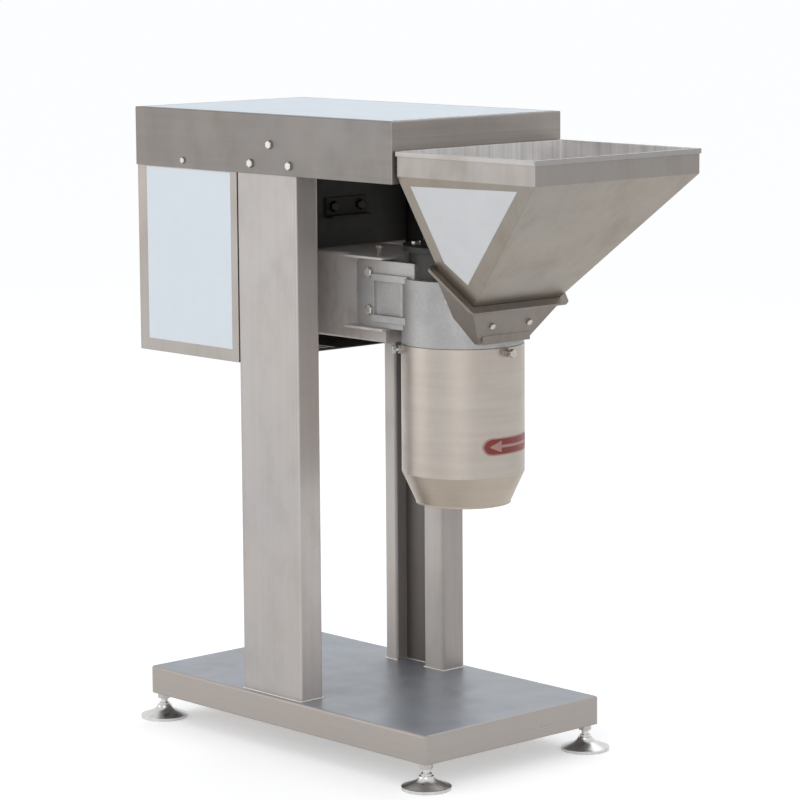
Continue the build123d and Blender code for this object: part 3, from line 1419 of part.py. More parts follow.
# Bolts that hold the cheeks to the head arm
cheek_bolt_length = cheek_thickness + cheek_fit + beam_wall + cheek_bolt_end
cheek_bolt = hex_bolt(cheek_bolt_diameter, cheek_bolt_flats, cheek_bolt_head, cheek_bolt_length)
with BuildPart() as cheek_bolts:
    for side in (-1, 1):
        for bolt_z in (cheek_bolt_low, cheek_bolt_high):
            with Locations(facing(cheek_bolt_x, side * cheek_outer_y, bolt_z, (0, side, 0))):
                add(cheek_bolt)
cheek_bolts.part.label = "cheek_bolts"
export_step(cheek_bolts.part, "parts/cheek_bolts.step")

# Bolts in the chute's front plate and beside the window of the housing
chute_bolt = hex_bolt(chute_bolt_diameter, chute_bolt_flats, chute_bolt_head, chute_wall + chute_bolt_end)
side_bolt = hex_bolt(chute_bolt_diameter, chute_bolt_flats, chute_bolt_head, housing_wall)
with BuildPart() as chute_bolts:
    with Locations(*chute_bolt_places):
        add(chute_bolt)
    with Locations(*side_bolt_places):
        add(side_bolt)
chute_bolts.part.label = "chute_bolts"
export_step(chute_bolts.part, "parts/chute_bolts.step")

# Bearing housing that stands on the boss and carries the floor of the belt cover
spindle_profile_plane = Plane(origin=(spindle_x, 0, 0), x_dir=(1, 0, 0), z_dir=(0, -1, 0))
spindle_axis = Axis((spindle_x, 0, 0), (0, 0, 1))
lower_bearing_top = lower_bearing_z + bearing_width
bearing_spigot_radius = boss_cavity_radius - bearing_spigot_fit
with BuildPart() as bearing_housing:
    with BuildSketch(spindle_profile_plane):
        with BuildLine():
            Polyline(
                (bearing_outer_radius, bearing_tube_bottom),
                (bearing_tube_radius, bearing_tube_bottom),
                (bearing_tube_radius, boss_top - bearing_spigot_height),
                (bearing_spigot_radius, boss_top - bearing_spigot_height),
                (bearing_spigot_radius, boss_top),
                (bearing_flange_radius, boss_top),
                (bearing_flange_radius, flange_top),
                (bearing_tube_radius, flange_top),
                (bearing_tube_radius, deck_z - bearing_collar_height),
                (bearing_collar_radius, deck_z - bearing_collar_height),
                (bearing_collar_radius, deck_z),
                (bearing_tube_radius, deck_z),
                (bearing_tube_radius, bearing_tube_top),
                (bearing_outer_radius, bearing_tube_top),
                (bearing_outer_radius, upper_bearing_z),
                (bearing_bore_radius, upper_bearing_z),
                (bearing_bore_radius, lower_bearing_top),
                (bearing_outer_radius, lower_bearing_top),
                close=True,
            )
        make_face()
    revolve(axis=spindle_axis)
    with BuildSketch(Plane.XY.offset(boss_top)):
        with Locations((boss_front_x, 0)):
            Rectangle(boss_radius, 2 * bearing_flange_radius, align=(Align.MIN, Align.CENTER))
        with Locations(*flange_bolt_places):
            Circle(flange_bolt_diameter / 2)
    extrude(amount=bearing_flange_thickness, mode=Mode.SUBTRACT)
bearing_housing.part.label = "bearing_housing"
export_step(bearing_housing.part, "parts/bearing_housing.step")

flange_bolt_length = bearing_flange_thickness + flange_bolt_depth
flange_bolt = hex_bolt(flange_bolt_diameter, flange_bolt_flats, flange_bolt_head, flange_bolt_length)
with BuildPart() as bearing_flange_bolts:
    with Locations(*[(x, y, flange_top) for x, y in flange_bolt_places]):
        add(flange_bolt)
bearing_flange_bolts.part.label = "bearing_flange_bolts"
export_step(bearing_flange_bolts.part, "parts/bearing_flange_bolts.step")

# Ball bearings with recessed shields
bearing_inner_radius = spindle_radius + running_clearance
with BuildPart() as spindle_bearings:
    for bearing_z in (lower_bearing_z, upper_bearing_z):
        with BuildSketch(Plane.XY.offset(bearing_z)):
            with Locations((spindle_x, 0)):
                Circle(bearing_outer_radius)
                Circle(bearing_inner_radius, mode=Mode.SUBTRACT)
        extrude(amount=bearing_width)
        for shield_z in (bearing_z, bearing_z + bearing_width - bearing_shield_recess):
            with BuildSketch(Plane.XY.offset(shield_z)):
                with Locations((spindle_x, 0)):
                    Circle(bearing_outer_radius - bearing_race_width)
                    Circle(bearing_inner_radius + bearing_race_width, mode=Mode.SUBTRACT)
            extrude(amount=bearing_shield_recess, mode=Mode.SUBTRACT)
spindle_bearings.part.label = "spindle_bearings"
export_step(spindle_bearings.part, "parts/spindle_bearings.step")

# Cap that keeps the upper bearing in its seat
with BuildPart() as bearing_cap:
    with BuildSketch(Plane.XY.offset(bearing_tube_top)):
        with Locations((spindle_x, 0)):
            Circle(bearing_tube_radius)
    extrude(amount=bearing_cap_height)
    chamfer(bearing_cap.faces().sort_by(Axis.Z)[-1].edges(), shaft_end_chamfer)
    with BuildSketch(Plane.XY.offset(bearing_tube_top)):
        with Locations((spindle_x, 0)):
            Circle(bearing_outer_radius - running_clearance)
    extrude(amount=upper_bearing_z + bearing_width - bearing_tube_top)
    with BuildSketch(Plane.XY.offset(upper_bearing_z)):
        with Locations((spindle_x, 0)):
            Circle(bearing_cap_bore_radius)
    extrude(amount=bearing_tube_top - upper_bearing_z + bearing_cap_height, mode=Mode.SUBTRACT)
bearing_cap.part.label = "bearing_cap"
export_step(bearing_cap.part, "parts/bearing_cap.step")

# Shaft seal in the roof of the chamber
with BuildPart() as shaft_seal:
    with BuildSketch(Plane.XY.offset(chamber_top)):
        with Locations((spindle_x, 0)):
            Circle(seal_radius)
            Circle(seal_land_radius + running_clearance, mode=Mode.SUBTRACT)
    extrude(amount=seal_width)
shaft_seal.part.label = "shaft_seal"
export_step(shaft_seal.part, "parts/shaft_seal.step")

# Stack of knives and spacers, from the nut upwards
first_knife_z = housing_bottom + rotor_nut_rise + rotor_nut_height + blade_lead
knife_levels = [first_knife_z + index * blade_pitch for index in range(blade_count)]
nut_bottom = first_knife_z - blade_lead - rotor_nut_height
stack_top = knife_levels[-1] + blade_pitch - blade_thickness / 2
with BuildPart() as rotor_nut:
    with BuildSketch(Plane.XY.offset(nut_bottom)):
        with Locations((spindle_x, 0)):
            RegularPolygon(rotor_nut_flats / 2, 6, major_radius=False)
            Circle(spindle_radius, mode=Mode.SUBTRACT)
    extrude(amount=rotor_nut_height)
rotor_nut.part.label = "rotor_nut"
export_step(rotor_nut.part, "parts/rotor_nut.step")

with BuildPart() as rotor_blades:
    for index, knife_z in enumerate(knife_levels):
        with BuildSketch(Plane.XY.offset(knife_z)):
            with Locations(Location((spindle_x, 0, 0), (0, 0, index * 180 / blade_count))):
                Rectangle(2 * blade_reach, blade_width)
                Circle(spindle_radius, mode=Mode.SUBTRACT)
        extrude(amount=blade_thickness)
rotor_blades.part.label = "rotor_blades"
export_step(rotor_blades.part, "parts/rotor_blades.step")

spacer_spans = [(first_knife_z - blade_lead, first_knife_z)]
for knife_z in knife_levels[:-1]:
    spacer_spans.append((knife_z + blade_thickness, knife_z + blade_pitch))
spacer_spans.append((knife_levels[-1] + blade_thickness, stack_top))
with BuildPart() as blade_spacers:
    for spacer_bottom, spacer_top in spacer_spans:
        with BuildSketch(Plane.XY.offset(spacer_bottom)):
            with Locations((spindle_x, 0)):
                Circle(spacer_radius)
                Circle(spindle_radius, mode=Mode.SUBTRACT)
        extrude(amount=spacer_top - spacer_bottom)
blade_spacers.part.label = "blade_spacers"
export_step(blade_spacers.part, "parts/blade_spacers.step")

# Spindle
pulley_seat_z = upper_bearing_z + bearing_width + spindle_end_gap
spindle_top = drive_z + pulley_width / 2 + spindle_top_stand
with BuildPart() as spindle:
    with BuildSketch(spindle_profile_plane):
        with BuildLine():
            Polyline(
                (0, nut_bottom - spindle_end_gap),
                (spindle_radius, nut_bottom - spindle_end_gap),
                (spindle_radius, stack_top),
                (seal_land_radius, stack_top),
                (seal_land_radius, lower_bearing_z - running_clearance),
                (spindle_radius, lower_bearing_z - running_clearance),
                (spindle_radius, pulley_seat_z),
                (pulley_seat_radius, pulley_seat_z),
                (pulley_seat_radius, spindle_top),
                (0, spindle_top),
                close=True,
            )
        make_face()
    revolve(axis=spindle_axis)
    chamfer(spindle.faces().sort_by(Axis.Z)[-1].edges(), shaft_end_chamfer)
spindle.part.label = "spindle"
export_step(spindle.part, "parts/spindle.step")

# Fixed ring of knife teeth at the bottom of the chamber
knife_ring_radius = housing_inner_radius - knife_ring_fit
knife_ring_inner = knife_ring_radius - knife_ring_width
with BuildPart() as fixed_knife_ring:
    with BuildSketch(Plane.XY.offset(housing_bottom + knife_ring_rise)):
        with Locations((spindle_x, 0)):
            Circle(knife_ring_radius)
            Circle(knife_ring_inner, mode=Mode.SUBTRACT)
            with PolarLocations(knife_ring_inner - knife_tooth_depth / 2, knife_tooth_count):
                Rectangle(knife_tooth_depth + 2 * knife_tooth_root, knife_tooth_width)
    extrude(amount=knife_ring_height)
fixed_knife_ring.part.label = "fixed_knife_ring"
export_step(fixed_knife_ring.part, "parts/fixed_knife_ring.step")

# Discharge drum with a conical end, slipped over the spigot
drum_top = housing_bottom - drum_top_gap
drum_cone_top = drum_top - drum_length
drum_bottom = drum_cone_top - drum_cone_length
drum_screw_z = drum_top - drum_screw_drop
drum_screw_angles = [360 / drum_screw_count * index for index in range(drum_screw_count)]
with BuildPart() as discharge_drum:
    with BuildSketch(spindle_profile_plane):
        with BuildLine():
            Polyline(
                (drum_radius - drum_sheet, drum_top),
                (drum_radius, drum_top),
                (drum_radius, drum_cone_top),
                (drum_outlet_radius, drum_bottom + drum_lip),
                (drum_outlet_radius, drum_bottom),
                (drum_outlet_radius - drum_sheet, drum_bottom),
                (drum_outlet_radius - drum_sheet, drum_bottom + drum_lip),
                (drum_radius - drum_sheet, drum_cone_top),
                close=True,
            )
        make_face()
    revolve(axis=spindle_axis)
    for angle in drum_screw_angles:
        nut_seat = around_spindle(drum_radius - drum_sheet / 2, angle, drum_screw_z)
        with BuildSketch(Plane(nut_seat)):
            RegularPolygon(drum_screw_flats / 2, 6, major_radius=False)
        extrude(amount=drum_nut_thickness + drum_sheet / 2)
    for angle in drum_screw_angles:
        with Locations(around_spindle(drum_radius, angle, drum_screw_z)):
            hole_radius = drum_screw_diameter / 2 + thread_clearance
            Cylinder(hole_radius, 4 * drum_nut_thickness, mode=Mode.SUBTRACT)
discharge_drum.part.label = "discharge_drum"
export_step(discharge_drum.part, "parts/discharge_drum.step")

drum_screw_seat = drum_radius + drum_screw_reach
drum_screw_length = drum_screw_seat - spigot_radius - drum_screw_tip_gap
drum_screw = hex_bolt(drum_screw_diameter, drum_screw_flats, drum_screw_head, drum_screw_length)
for number, angle in enumerate(drum_screw_angles, start=1):
    with BuildPart() as placed_screw:
        with Locations(around_spindle(drum_screw_seat, angle, drum_screw_z)):
            add(drum_screw)
    placed_screw.part.label = f"drum_screw_{number}"
    export_step(placed_screw.part, f"parts/drum_screw_{number}.step")
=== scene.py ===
import math
import random

import bmesh
import bpy
from mathutils import Matrix, Vector
from mathutils.bvhtree import BVHTree


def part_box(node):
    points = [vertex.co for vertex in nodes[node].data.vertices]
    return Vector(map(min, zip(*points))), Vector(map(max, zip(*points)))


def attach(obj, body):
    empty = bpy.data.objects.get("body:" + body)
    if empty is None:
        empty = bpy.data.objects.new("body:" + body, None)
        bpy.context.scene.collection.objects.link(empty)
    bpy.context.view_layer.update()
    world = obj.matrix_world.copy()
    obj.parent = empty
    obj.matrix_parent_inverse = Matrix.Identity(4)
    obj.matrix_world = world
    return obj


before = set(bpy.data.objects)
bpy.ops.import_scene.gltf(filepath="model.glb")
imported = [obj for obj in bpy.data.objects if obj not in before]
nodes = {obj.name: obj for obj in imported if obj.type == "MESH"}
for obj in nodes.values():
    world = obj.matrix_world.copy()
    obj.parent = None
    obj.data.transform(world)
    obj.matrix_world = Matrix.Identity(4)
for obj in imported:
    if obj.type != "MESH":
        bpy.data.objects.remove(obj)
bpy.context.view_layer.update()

scene = bpy.context.scene
random.seed(7)

# Places read from the CAD nodes, in metres
tray_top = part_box("base_tray")[1].z
column_low, column_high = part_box("near_column")
cover_low, cover_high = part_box("belt_cover")
case_near_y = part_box("motor_cover")[0].y
posts_low, posts_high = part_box("rear_posts")
panel_low, panel_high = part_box("rear_column_panel")
arm_low, arm_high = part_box("head_arm")
beam_front_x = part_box("cross_beam")[1].x
chute_foot_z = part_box("feed_chute")[0].z
hopper_low, hopper_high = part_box("hopper_body")
spindle_low, spindle_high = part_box("spindle_bearings")
spindle_x = (spindle_low.x + spindle_high.x) / 2

# Sizes of forms within the nodes, in metres
drum_radius = 0.102
cone_top = 0.4897
housing_radius = 0.101
housing_top = 0.812
boss_radius = 0.0895
hem_height = 0.040
hopper_sheet = 0.001


# Materials
def link(tree, source, target):
    tree.links.new(source, target)


def new_material(name):
    material = bpy.data.materials.new(name)
    material.use_nodes = True
    tree = material.node_tree
    shader = tree.nodes["Principled BSDF"]
    return material, tree, shader


def object_noise(tree, scale, detail=3.0, roughness=0.55, stretch=(1, 1, 1)):
    """Noise in the part's own frame, stretched along the grain."""
    place = tree.nodes.new("ShaderNodeTexCoord")
    mapping = tree.nodes.new("ShaderNodeMapping")
    mapping.inputs["Scale"].default_value = [scale * s for s in stretch]
    noise = tree.nodes.new("ShaderNodeTexNoise")
    noise.inputs["Scale"].default_value = 1.0
    noise.inputs["Detail"].default_value = detail
    noise.inputs["Roughness"].default_value = roughness
    link(tree, place.outputs["Object"], mapping.inputs["Vector"])
    link(tree, mapping.outputs["Vector"], noise.inputs["Vector"])
    return noise.outputs["Fac"]


def remap(tree, value, low, high, start=0.3, end=0.7):
    node = tree.nodes.new("ShaderNodeMapRange")
    node.inputs["From Min"].default_value = start
    node.inputs["From Max"].default_value = end
    node.inputs["To Min"].default_value = low
    node.inputs["To Max"].default_value = high
    link(tree, value, node.inputs["Value"])
    return node.outputs["Result"]


def mix_colours(tree, factor, first, second):
    node = tree.nodes.new("ShaderNodeMix")
    node.data_type = "RGBA"
    colour_a, colour_b = [s for s in node.inputs if s.type == "RGBA"]
    for socket, value in ((colour_a, first), (colour_b, second)):
        if isinstance(value, bpy.types.NodeSocket):
            link(tree, value, socket)
        else:
            socket.default_value = (*value, 1)
    link(tree, factor, node.inputs[0])
    return [s for s in node.outputs if s.type == "RGBA"][0]


def scaled(colour, factor):
    return tuple(min(1.0, c * factor) for c in colour)


def bump(tree, height, strength, distance, normal=None):
    node = tree.nodes.new("ShaderNodeBump")
    node.inputs["Strength"].default_value = strength
    node.inputs["Distance"].default_value = distance
    link(tree, height, node.inputs["Height"])
    if normal is not None:
        link(tree, normal, node.inputs["Normal"])
    return node.outputs["Normal"]


def soft_edges(tree, radius):
    node = tree.nodes.new("ShaderNodeBevel")
    node.samples = 4
    node.inputs["Radius"].default_value = radius
    return node.outputs["Normal"]


# Noise cycles per metre along x, y and z for each run of the brush marks
fine_scale = 900
grain_scales = {
    "upright": (fine_scale, fine_scale, 9),
    "level": (9, 9, fine_scale),
    "round": (60, 60, fine_scale),
}


def product(tree, first, second):
    node = tree.nodes.new("ShaderNodeMath")
    node.operation = "MULTIPLY"
    link(tree, first, node.inputs[0])
    link(tree, second, node.inputs[1])
    return node.outputs["Value"]


def split_axes(tree, output):
    """The x, y and z sockets of a texture coordinate output."""
    place = tree.nodes.new("ShaderNodeTexCoord")
    split = tree.nodes.new("ShaderNodeSeparateXYZ")
    link(tree, place.outputs[output], split.inputs["Vector"])
    return split.outputs


def above(tree, height, softness=0.0004):
    """1 above a height in the part's own frame and 0 below it."""
    height_here = split_axes(tree, "Object")["Z"]
    return remap(tree, height_here, 0, 1, height - softness, height + softness)


def facing_up(tree, start=0.02):
    """1 where the surface faces upwards, from a share of its normal on, and 0 elsewhere; the mask of painted
    light on level faces.
    """
    return remap(tree, split_axes(tree, "Normal")["Z"], 0, 1, start, start + 0.08)


def within(tree, low, high, softness=0.0003):
    """1 between two upright planes in x and in y, and 0 outside them."""
    here = split_axes(tree, "Object")
    result = None
    for axis, start, end in zip("XY", low, high):
        after = remap(tree, here[axis], 0, 1, start - softness, start + softness)
        before = remap(tree, here[axis], 1, 0, end - softness, end + softness)
        both = product(tree, after, before)
        result = both if result is None else product(tree, result, both)
    return result


def facing_front(tree):
    """1 where the surface faces +X and 0 elsewhere; the mask of painted light and shade on +X faces."""
    return remap(tree, split_axes(tree, "Normal")["X"], 0, 1, 0.3, 0.8)


smear_brown = (0.20, 0.155, 0.115)


def brushed_steel(name, colour, roughness, grain, stain=0.10, edge=0.0012, metallic=1.0, over=None,
                  upward=None, level_from=0.02, inside=None, front=None, clouds=1.0):
    """Brushed sheet: fine grain, broad streaks, cloudy warm and cool areas and rub marks.

    over, upward, inside and front give another colour above a height, on level faces,
    within a box above a height, and on faces towards +X; upward, inside and front paint light and shade.
    """
    material, tree, shader = new_material(name)
    stretch = [scale / fine_scale for scale in grain_scales[grain]]
    fine = object_noise(tree, fine_scale, 4, 0.65, stretch)
    streak = object_noise(tree, 90, 3, 0.6, [s if s < 0.5 else 1 for s in stretch])
    cloud = object_noise(tree, 4.5, 3, 0.5)
    smear = object_noise(tree, 17, 4, 0.6, (1, 1, 0.6))
    cool = (colour[0] * 0.93, colour[1] * 0.99, colour[2] * 1.04)
    base = mix_colours(tree, remap(tree, cloud, 0, clouds, 0.35, 0.65), colour, cool)
    # Faces towards +X take another colour: painted light or shade on that side.
    if front:
        base = mix_colours(tree, facing_front(tree), base, front)
    if over:
        height, other = over
        base = mix_colours(tree, above(tree, height), base, other)
    # Level faces take another colour: painted light from above.
    if upward:
        base = mix_colours(tree, facing_up(tree, level_from), base, upward)
    # The box's inside above a height takes another colour: painted light inside the hopper's mouth.
    if inside:
        low, high, height, other = inside
        mouth = product(tree, above(tree, height), within(tree, low, high))
        base = mix_colours(tree, mouth, base, other)
    base = mix_colours(tree, remap(tree, streak, 0, 0.35), base, scaled(colour, 0.82))
    base = mix_colours(tree, remap(tree, fine, 0, 0.22), base, scaled(colour, 1.25))
    base = mix_colours(tree, remap(tree, smear, 0, stain, 0.5, 0.75), base, smear_brown)
    link(tree, base, shader.inputs["Base Color"])
    shader.inputs["Metallic"].default_value = metallic
    rough = tree.nodes.new("ShaderNodeMath")
    rough.operation = "ADD"
    link(tree, remap(tree, fine, roughness - 0.05, roughness + 0.07), rough.inputs[0])
    link(tree, remap(tree, smear, -0.04, 0.08), rough.inputs[1])
    link(tree, rough.outputs["Value"], shader.inputs["Roughness"])
    normal = soft_edges(tree, edge)
    normal = bump(tree, streak, 0.10, 0.0006, normal)
    normal = bump(tree, fine, 0.16, 0.00012, normal)
    link(tree, normal, shader.inputs["Normal"])
    return material


def near_spindle(tree, radius, softness=0.001):
    """1 within a radius of the spindle axis and 0 outside it."""
    place = tree.nodes.new("ShaderNodeTexCoord")
    mapping = tree.nodes.new("ShaderNodeMapping")
    mapping.inputs["Location"].default_value = (-spindle_x, 0, 0)
    mapping.inputs["Scale"].default_value = (1, 1, 0)
    length = tree.nodes.new("ShaderNodeVectorMath")
    length.operation = "LENGTH"
    link(tree, place.outputs["Object"], mapping.inputs["Vector"])
    link(tree, mapping.outputs["Vector"], length.inputs[0])
    return remap(tree, length.outputs["Value"], 1, 0, radius, radius + softness)


def cast_metal(name, colour, roughness, boss=None):
    """Blasted casting: fine pitted skin, rubbed high spots and grey clouds."""
    material, tree, shader = new_material(name)
    pits = object_noise(tree, 1400, 4, 0.7)
    skin = object_noise(tree, 260, 4, 0.6)
    cloud = object_noise(tree, 14, 4, 0.6)
    base = mix_colours(tree, remap(tree, cloud, 0, 1), scaled(colour, 0.84), scaled(colour, 1.10))
    base = mix_colours(tree, remap(tree, skin, 0, 0.25), base, scaled(colour, 0.75))
    base = mix_colours(tree, remap(tree, pits, 0, 0.2), base, scaled(colour, 1.3))
    if boss:
        height, radius, other = boss
        inside = product(tree, above(tree, height), near_spindle(tree, radius))
        base = mix_colours(tree, inside, base, other)
    link(tree, base, shader.inputs["Base Color"])
    shader.inputs["Metallic"].default_value = 0.85
    link(tree, remap(tree, skin, roughness - 0.06, roughness + 0.08), shader.inputs["Roughness"])
    normal = soft_edges(tree, 0.0018)
    normal = bump(tree, skin, 0.12, 0.0006, normal)
    normal = bump(tree, pits, 0.25, 0.00015, normal)
    link(tree, normal, shader.inputs["Normal"])
    return material


wave_radians = 20  # phase of a wave texture per unit of its scale and per metre


def turned_metal(name, colour, roughness, thread_pitch=None):
    """Turned or plated steel, with grooves where a thread's pitch is given."""
    material, tree, shader = new_material(name)
    fine = object_noise(tree, 1500, 3, 0.6)
    cloud = object_noise(tree, 60, 4, 0.6)
    base = mix_colours(tree, remap(tree, cloud, 0, 1), scaled(colour, 0.78), scaled(colour, 1.1))
    base = mix_colours(tree, remap(tree, fine, 0, 0.3), base, scaled(colour, 1.25))
    link(tree, base, shader.inputs["Base Color"])
    shader.inputs["Metallic"].default_value = 1.0
    link(tree, remap(tree, cloud, roughness - 0.06, roughness + 0.10), shader.inputs["Roughness"])
    normal = soft_edges(tree, 0.0007)
    if thread_pitch:
        place = tree.nodes.new("ShaderNodeTexCoord")
        wave = tree.nodes.new("ShaderNodeTexWave")
        wave.bands_direction = "Z"
        wave.wave_profile = "TRI"
        wave.inputs["Scale"].default_value = 2 * math.pi / (wave_radians * thread_pitch)
        link(tree, place.outputs["Object"], wave.inputs["Vector"])
        normal = bump(tree, wave.outputs["Fac"], 0.9, 0.0006, normal)
    normal = bump(tree, fine, 0.15, 0.0001, normal)
    link(tree, normal, shader.inputs["Normal"])
    return material


def moulded(name, colour, roughness, grain=900, bump_strength=0.15, spread=0.12, rubbed=0.35):
    """Plastic, rubber, enamel or film: fine texture, faint clouds and rub marks."""
    material, tree, shader = new_material(name)
    fine = object_noise(tree, grain, 3, 0.6)
    cloud = object_noise(tree, 20, 4, 0.6)
    rub = object_noise(tree, 70, 5, 0.7)
    dull, pale = scaled(colour, 1 - spread), scaled(colour, 1 + spread)
    base = mix_colours(tree, remap(tree, cloud, 0, 1), dull, pale)
    base = mix_colours(tree, remap(tree, rub, 0, rubbed, 0.56, 0.75), base, scaled(colour, 1.5))
    link(tree, base, shader.inputs["Base Color"])
    link(tree, remap(tree, rub, roughness - 0.05, roughness + 0.12), shader.inputs["Roughness"])
    normal = soft_edges(tree, 0.0012)
    normal = bump(tree, fine, bump_strength, 0.0002, normal)
    link(tree, normal, shader.inputs["Normal"])
    return material


def belt_rubber(name):
    material, tree, shader = new_material(name)
    weave = object_noise(tree, 700, 3, 0.6)
    dust = object_noise(tree, 45, 5, 0.7)
    base = mix_colours(tree, remap(tree, dust, 0, 0.6, 0.5, 0.75), (0.012, 0.012, 0.012), (0.07, 0.065, 0.06))
    link(tree, base, shader.inputs["Base Color"])
    link(tree, remap(tree, weave, 0.6, 0.85), shader.inputs["Roughness"])
    link(tree, bump(tree, weave, 0.4, 0.0003), shader.inputs["Normal"])
    return material


def copper_and_iron(name):
    """Wound core: laminations as fine level lines, with cloudy patches of varnished copper."""
    material, tree, shader = new_material(name)
    place = tree.nodes.new("ShaderNodeTexCoord")
    wave = tree.nodes.new("ShaderNodeTexWave")
    wave.bands_direction = "Z"
    wave.inputs["Scale"].default_value = 120
    wave.inputs["Distortion"].default_value = 0.6
    link(tree, place.outputs["Object"], wave.inputs["Vector"])
    cloud = object_noise(tree, 30, 4, 0.6)
    base = mix_colours(tree, wave.outputs["Fac"], (0.10, 0.085, 0.075), (0.19, 0.16, 0.14))
    base = mix_colours(tree, remap(tree, cloud, 0, 0.6), base, (0.32, 0.12, 0.04))
    link(tree, base, shader.inputs["Base Color"])
    shader.inputs["Metallic"].default_value = 0.7
    link(tree, remap(tree, cloud, 0.4, 0.65), shader.inputs["Roughness"])
    link(tree, bump(tree, wave.outputs["Fac"], 0.3, 0.0004), shader.inputs["Normal"])
    return material


# Colours of the hopper's inside, painted light, and of the casting around the spindle
band_bottom = hopper_high.z - hem_height
mouth_low = (hopper_low.x + hopper_sheet, hopper_low.y + hopper_sheet)
mouth_high = (hopper_high.x - hopper_sheet, hopper_high.y - hopper_sheet)
# The hopper's inside is painted pale grey as light falling into its mouth.
hopper_inside_painted_light = (mouth_low, mouth_high, band_bottom, (0.82, 0.82, 0.83))
dark_boss = (housing_top, boss_radius, (0.05, 0.049, 0.047))

materials = {
    # Column: +X faces painted lighter as light on that side.
    "column": brushed_steel("column_steel", (0.43, 0.395, 0.375), 0.46, "upright", metallic=0.8,
                            front=(0.53, 0.49, 0.47)),
    # Rear posts: painted lighter where the near column shades them, and +X faces painted darker as shade.
    "posts": brushed_steel("post_steel_painted_light_and_shade", (0.50, 0.46, 0.43), 0.46, "upright", metallic=0.6,
                           front=(0.32, 0.29, 0.275)),
    # Panel between the rear posts: painted dark as the shade of its recess.
    "post_panel": brushed_steel("post_panel_painted_shade", (0.15, 0.135, 0.125), 0.48, "upright", metallic=0.8),
    # Belt cover: base darkened as a painted reflection of dark surroundings, and +X faces painted lighter as
    # light on that side.
    "cover": brushed_steel("cover_steel_painted_light_and_shade", (0.225, 0.205, 0.19), 0.45, "level", metallic=0.8,
                           front=(0.35, 0.32, 0.30)),
    "case": brushed_steel("case_steel", (0.38, 0.34, 0.31), 0.42, "upright", metallic=0.85),
    # Tray: level faces painted blue-grey as a reflection of the sky light from above.
    "tray": brushed_steel("tray_steel", (0.41, 0.365, 0.335), 0.33, "level", metallic=0.4,
                          upward=(0.235, 0.29, 0.36), level_from=0.9, clouds=0.3, stain=0.03, edge=0.003),
    # Cross beam and arm: painted pale as light where the near column and belt cover shade them.
    "arm": brushed_steel("arm_painted_light", (0.60, 0.54, 0.50), 0.48, "upright", stain=0.5, metallic=0.3),
    # Hopper: level faces and the inside of its mouth painted pale as light.
    "hopper": brushed_steel("hopper_steel", (0.30, 0.262, 0.222), 0.36, "upright", stain=0.2,
                            over=(band_bottom, (0.27, 0.257, 0.25)), upward=(0.70, 0.69, 0.70),
                            inside=hopper_inside_painted_light),
    "rim": brushed_steel("rim_steel", (0.33, 0.31, 0.295), 0.34, "level"),
    "chute": brushed_steel("chute_steel", (0.25, 0.215, 0.19), 0.48, "upright", stain=0.4, metallic=0.85),
    "drum": brushed_steel("drum_steel", (0.42, 0.35, 0.285), 0.34, "round", stain=0.10,
                          over=(cone_top, (0.43, 0.40, 0.37))),
    "plate": brushed_steel("plate_steel", (0.16, 0.15, 0.14), 0.5, "level", stain=0.4),
    # Stay bracket and its bolts: painted near black as the shade under the belt cover.
    "stay": brushed_steel("stay_painted_shade", (0.030, 0.028, 0.026), 0.6, "level", metallic=0.6),
    "stay_bolt": turned_metal("stay_bolt_painted_shade", (0.035, 0.033, 0.030), 0.5),
    # Drive guard, motor plate and belt floor: painted near black as the shade inside the casing.
    "inner": moulded("inner_painted_shade", (0.020, 0.019, 0.017), 0.6, 500, 0.2),
    "cast": cast_metal("cast_housing", (0.375, 0.37, 0.368), 0.5, boss=dark_boss),
    "bearing": cast_metal("bearing_casting", (0.045, 0.044, 0.042), 0.55),
    "pulley": cast_metal("pulley_casting", (0.16, 0.16, 0.165), 0.42),
    "bolt": turned_metal("bolt_steel", (0.48, 0.46, 0.43), 0.28),
    "threaded": turned_metal("threaded_steel", (0.50, 0.46, 0.42), 0.34, thread_pitch=0.00125),
    "foot": turned_metal("foot_steel", (0.62, 0.615, 0.61), 0.30),
    "shaft": turned_metal("shaft_steel", (0.55, 0.54, 0.53), 0.22),
    "knife": turned_metal("knife_steel", (0.58, 0.58, 0.59), 0.18),
    "motor": moulded("motor_enamel", (0.07, 0.13, 0.20), 0.38, 600, 0.2),
    "stator": copper_and_iron("wound_core"),
    "belt": belt_rubber("belt_rubber"),
    "seal": moulded("seal_rubber", (0.02, 0.02, 0.02), 0.6),
    "fan": moulded("fan_plastic", (0.04, 0.04, 0.045), 0.5),
    "switch": moulded("switch_plastic", (0.50, 0.50, 0.48), 0.42, 700, 0.25, 0.05),
    "gland": moulded("gland_nylon", (0.035, 0.035, 0.035), 0.5),
    "green": moulded("green_cap", (0.03, 0.30, 0.08), 0.3),
    "red": moulded("red_cap", (0.52, 0.03, 0.025), 0.3),
    "film": moulded("blue_white_film", (0.73, 0.79, 0.845), 0.42, 160, 0.10, 0.012, 0.1),
    "hopper_film": moulded("white_film", (0.66, 0.66, 0.675), 0.36, 160, 0.10, 0.03, 0.1),
    "top_film": moulded("cover_top_film", (0.60, 0.675, 0.75), 0.34, 160, 0.10, 0.03, 0.1),
    "sticker_red": moulded("sticker_red", (0.20, 0.022, 0.014), 0.35, 500, 0.05, 0.2, 0.1),
    "sticker_pale": moulded("sticker_pale", (0.42, 0.22, 0.20), 0.35, 500, 0.05, 0.1, 0.1),
    "weld": turned_metal("weld_bead", (0.60, 0.565, 0.53), 0.34),
}

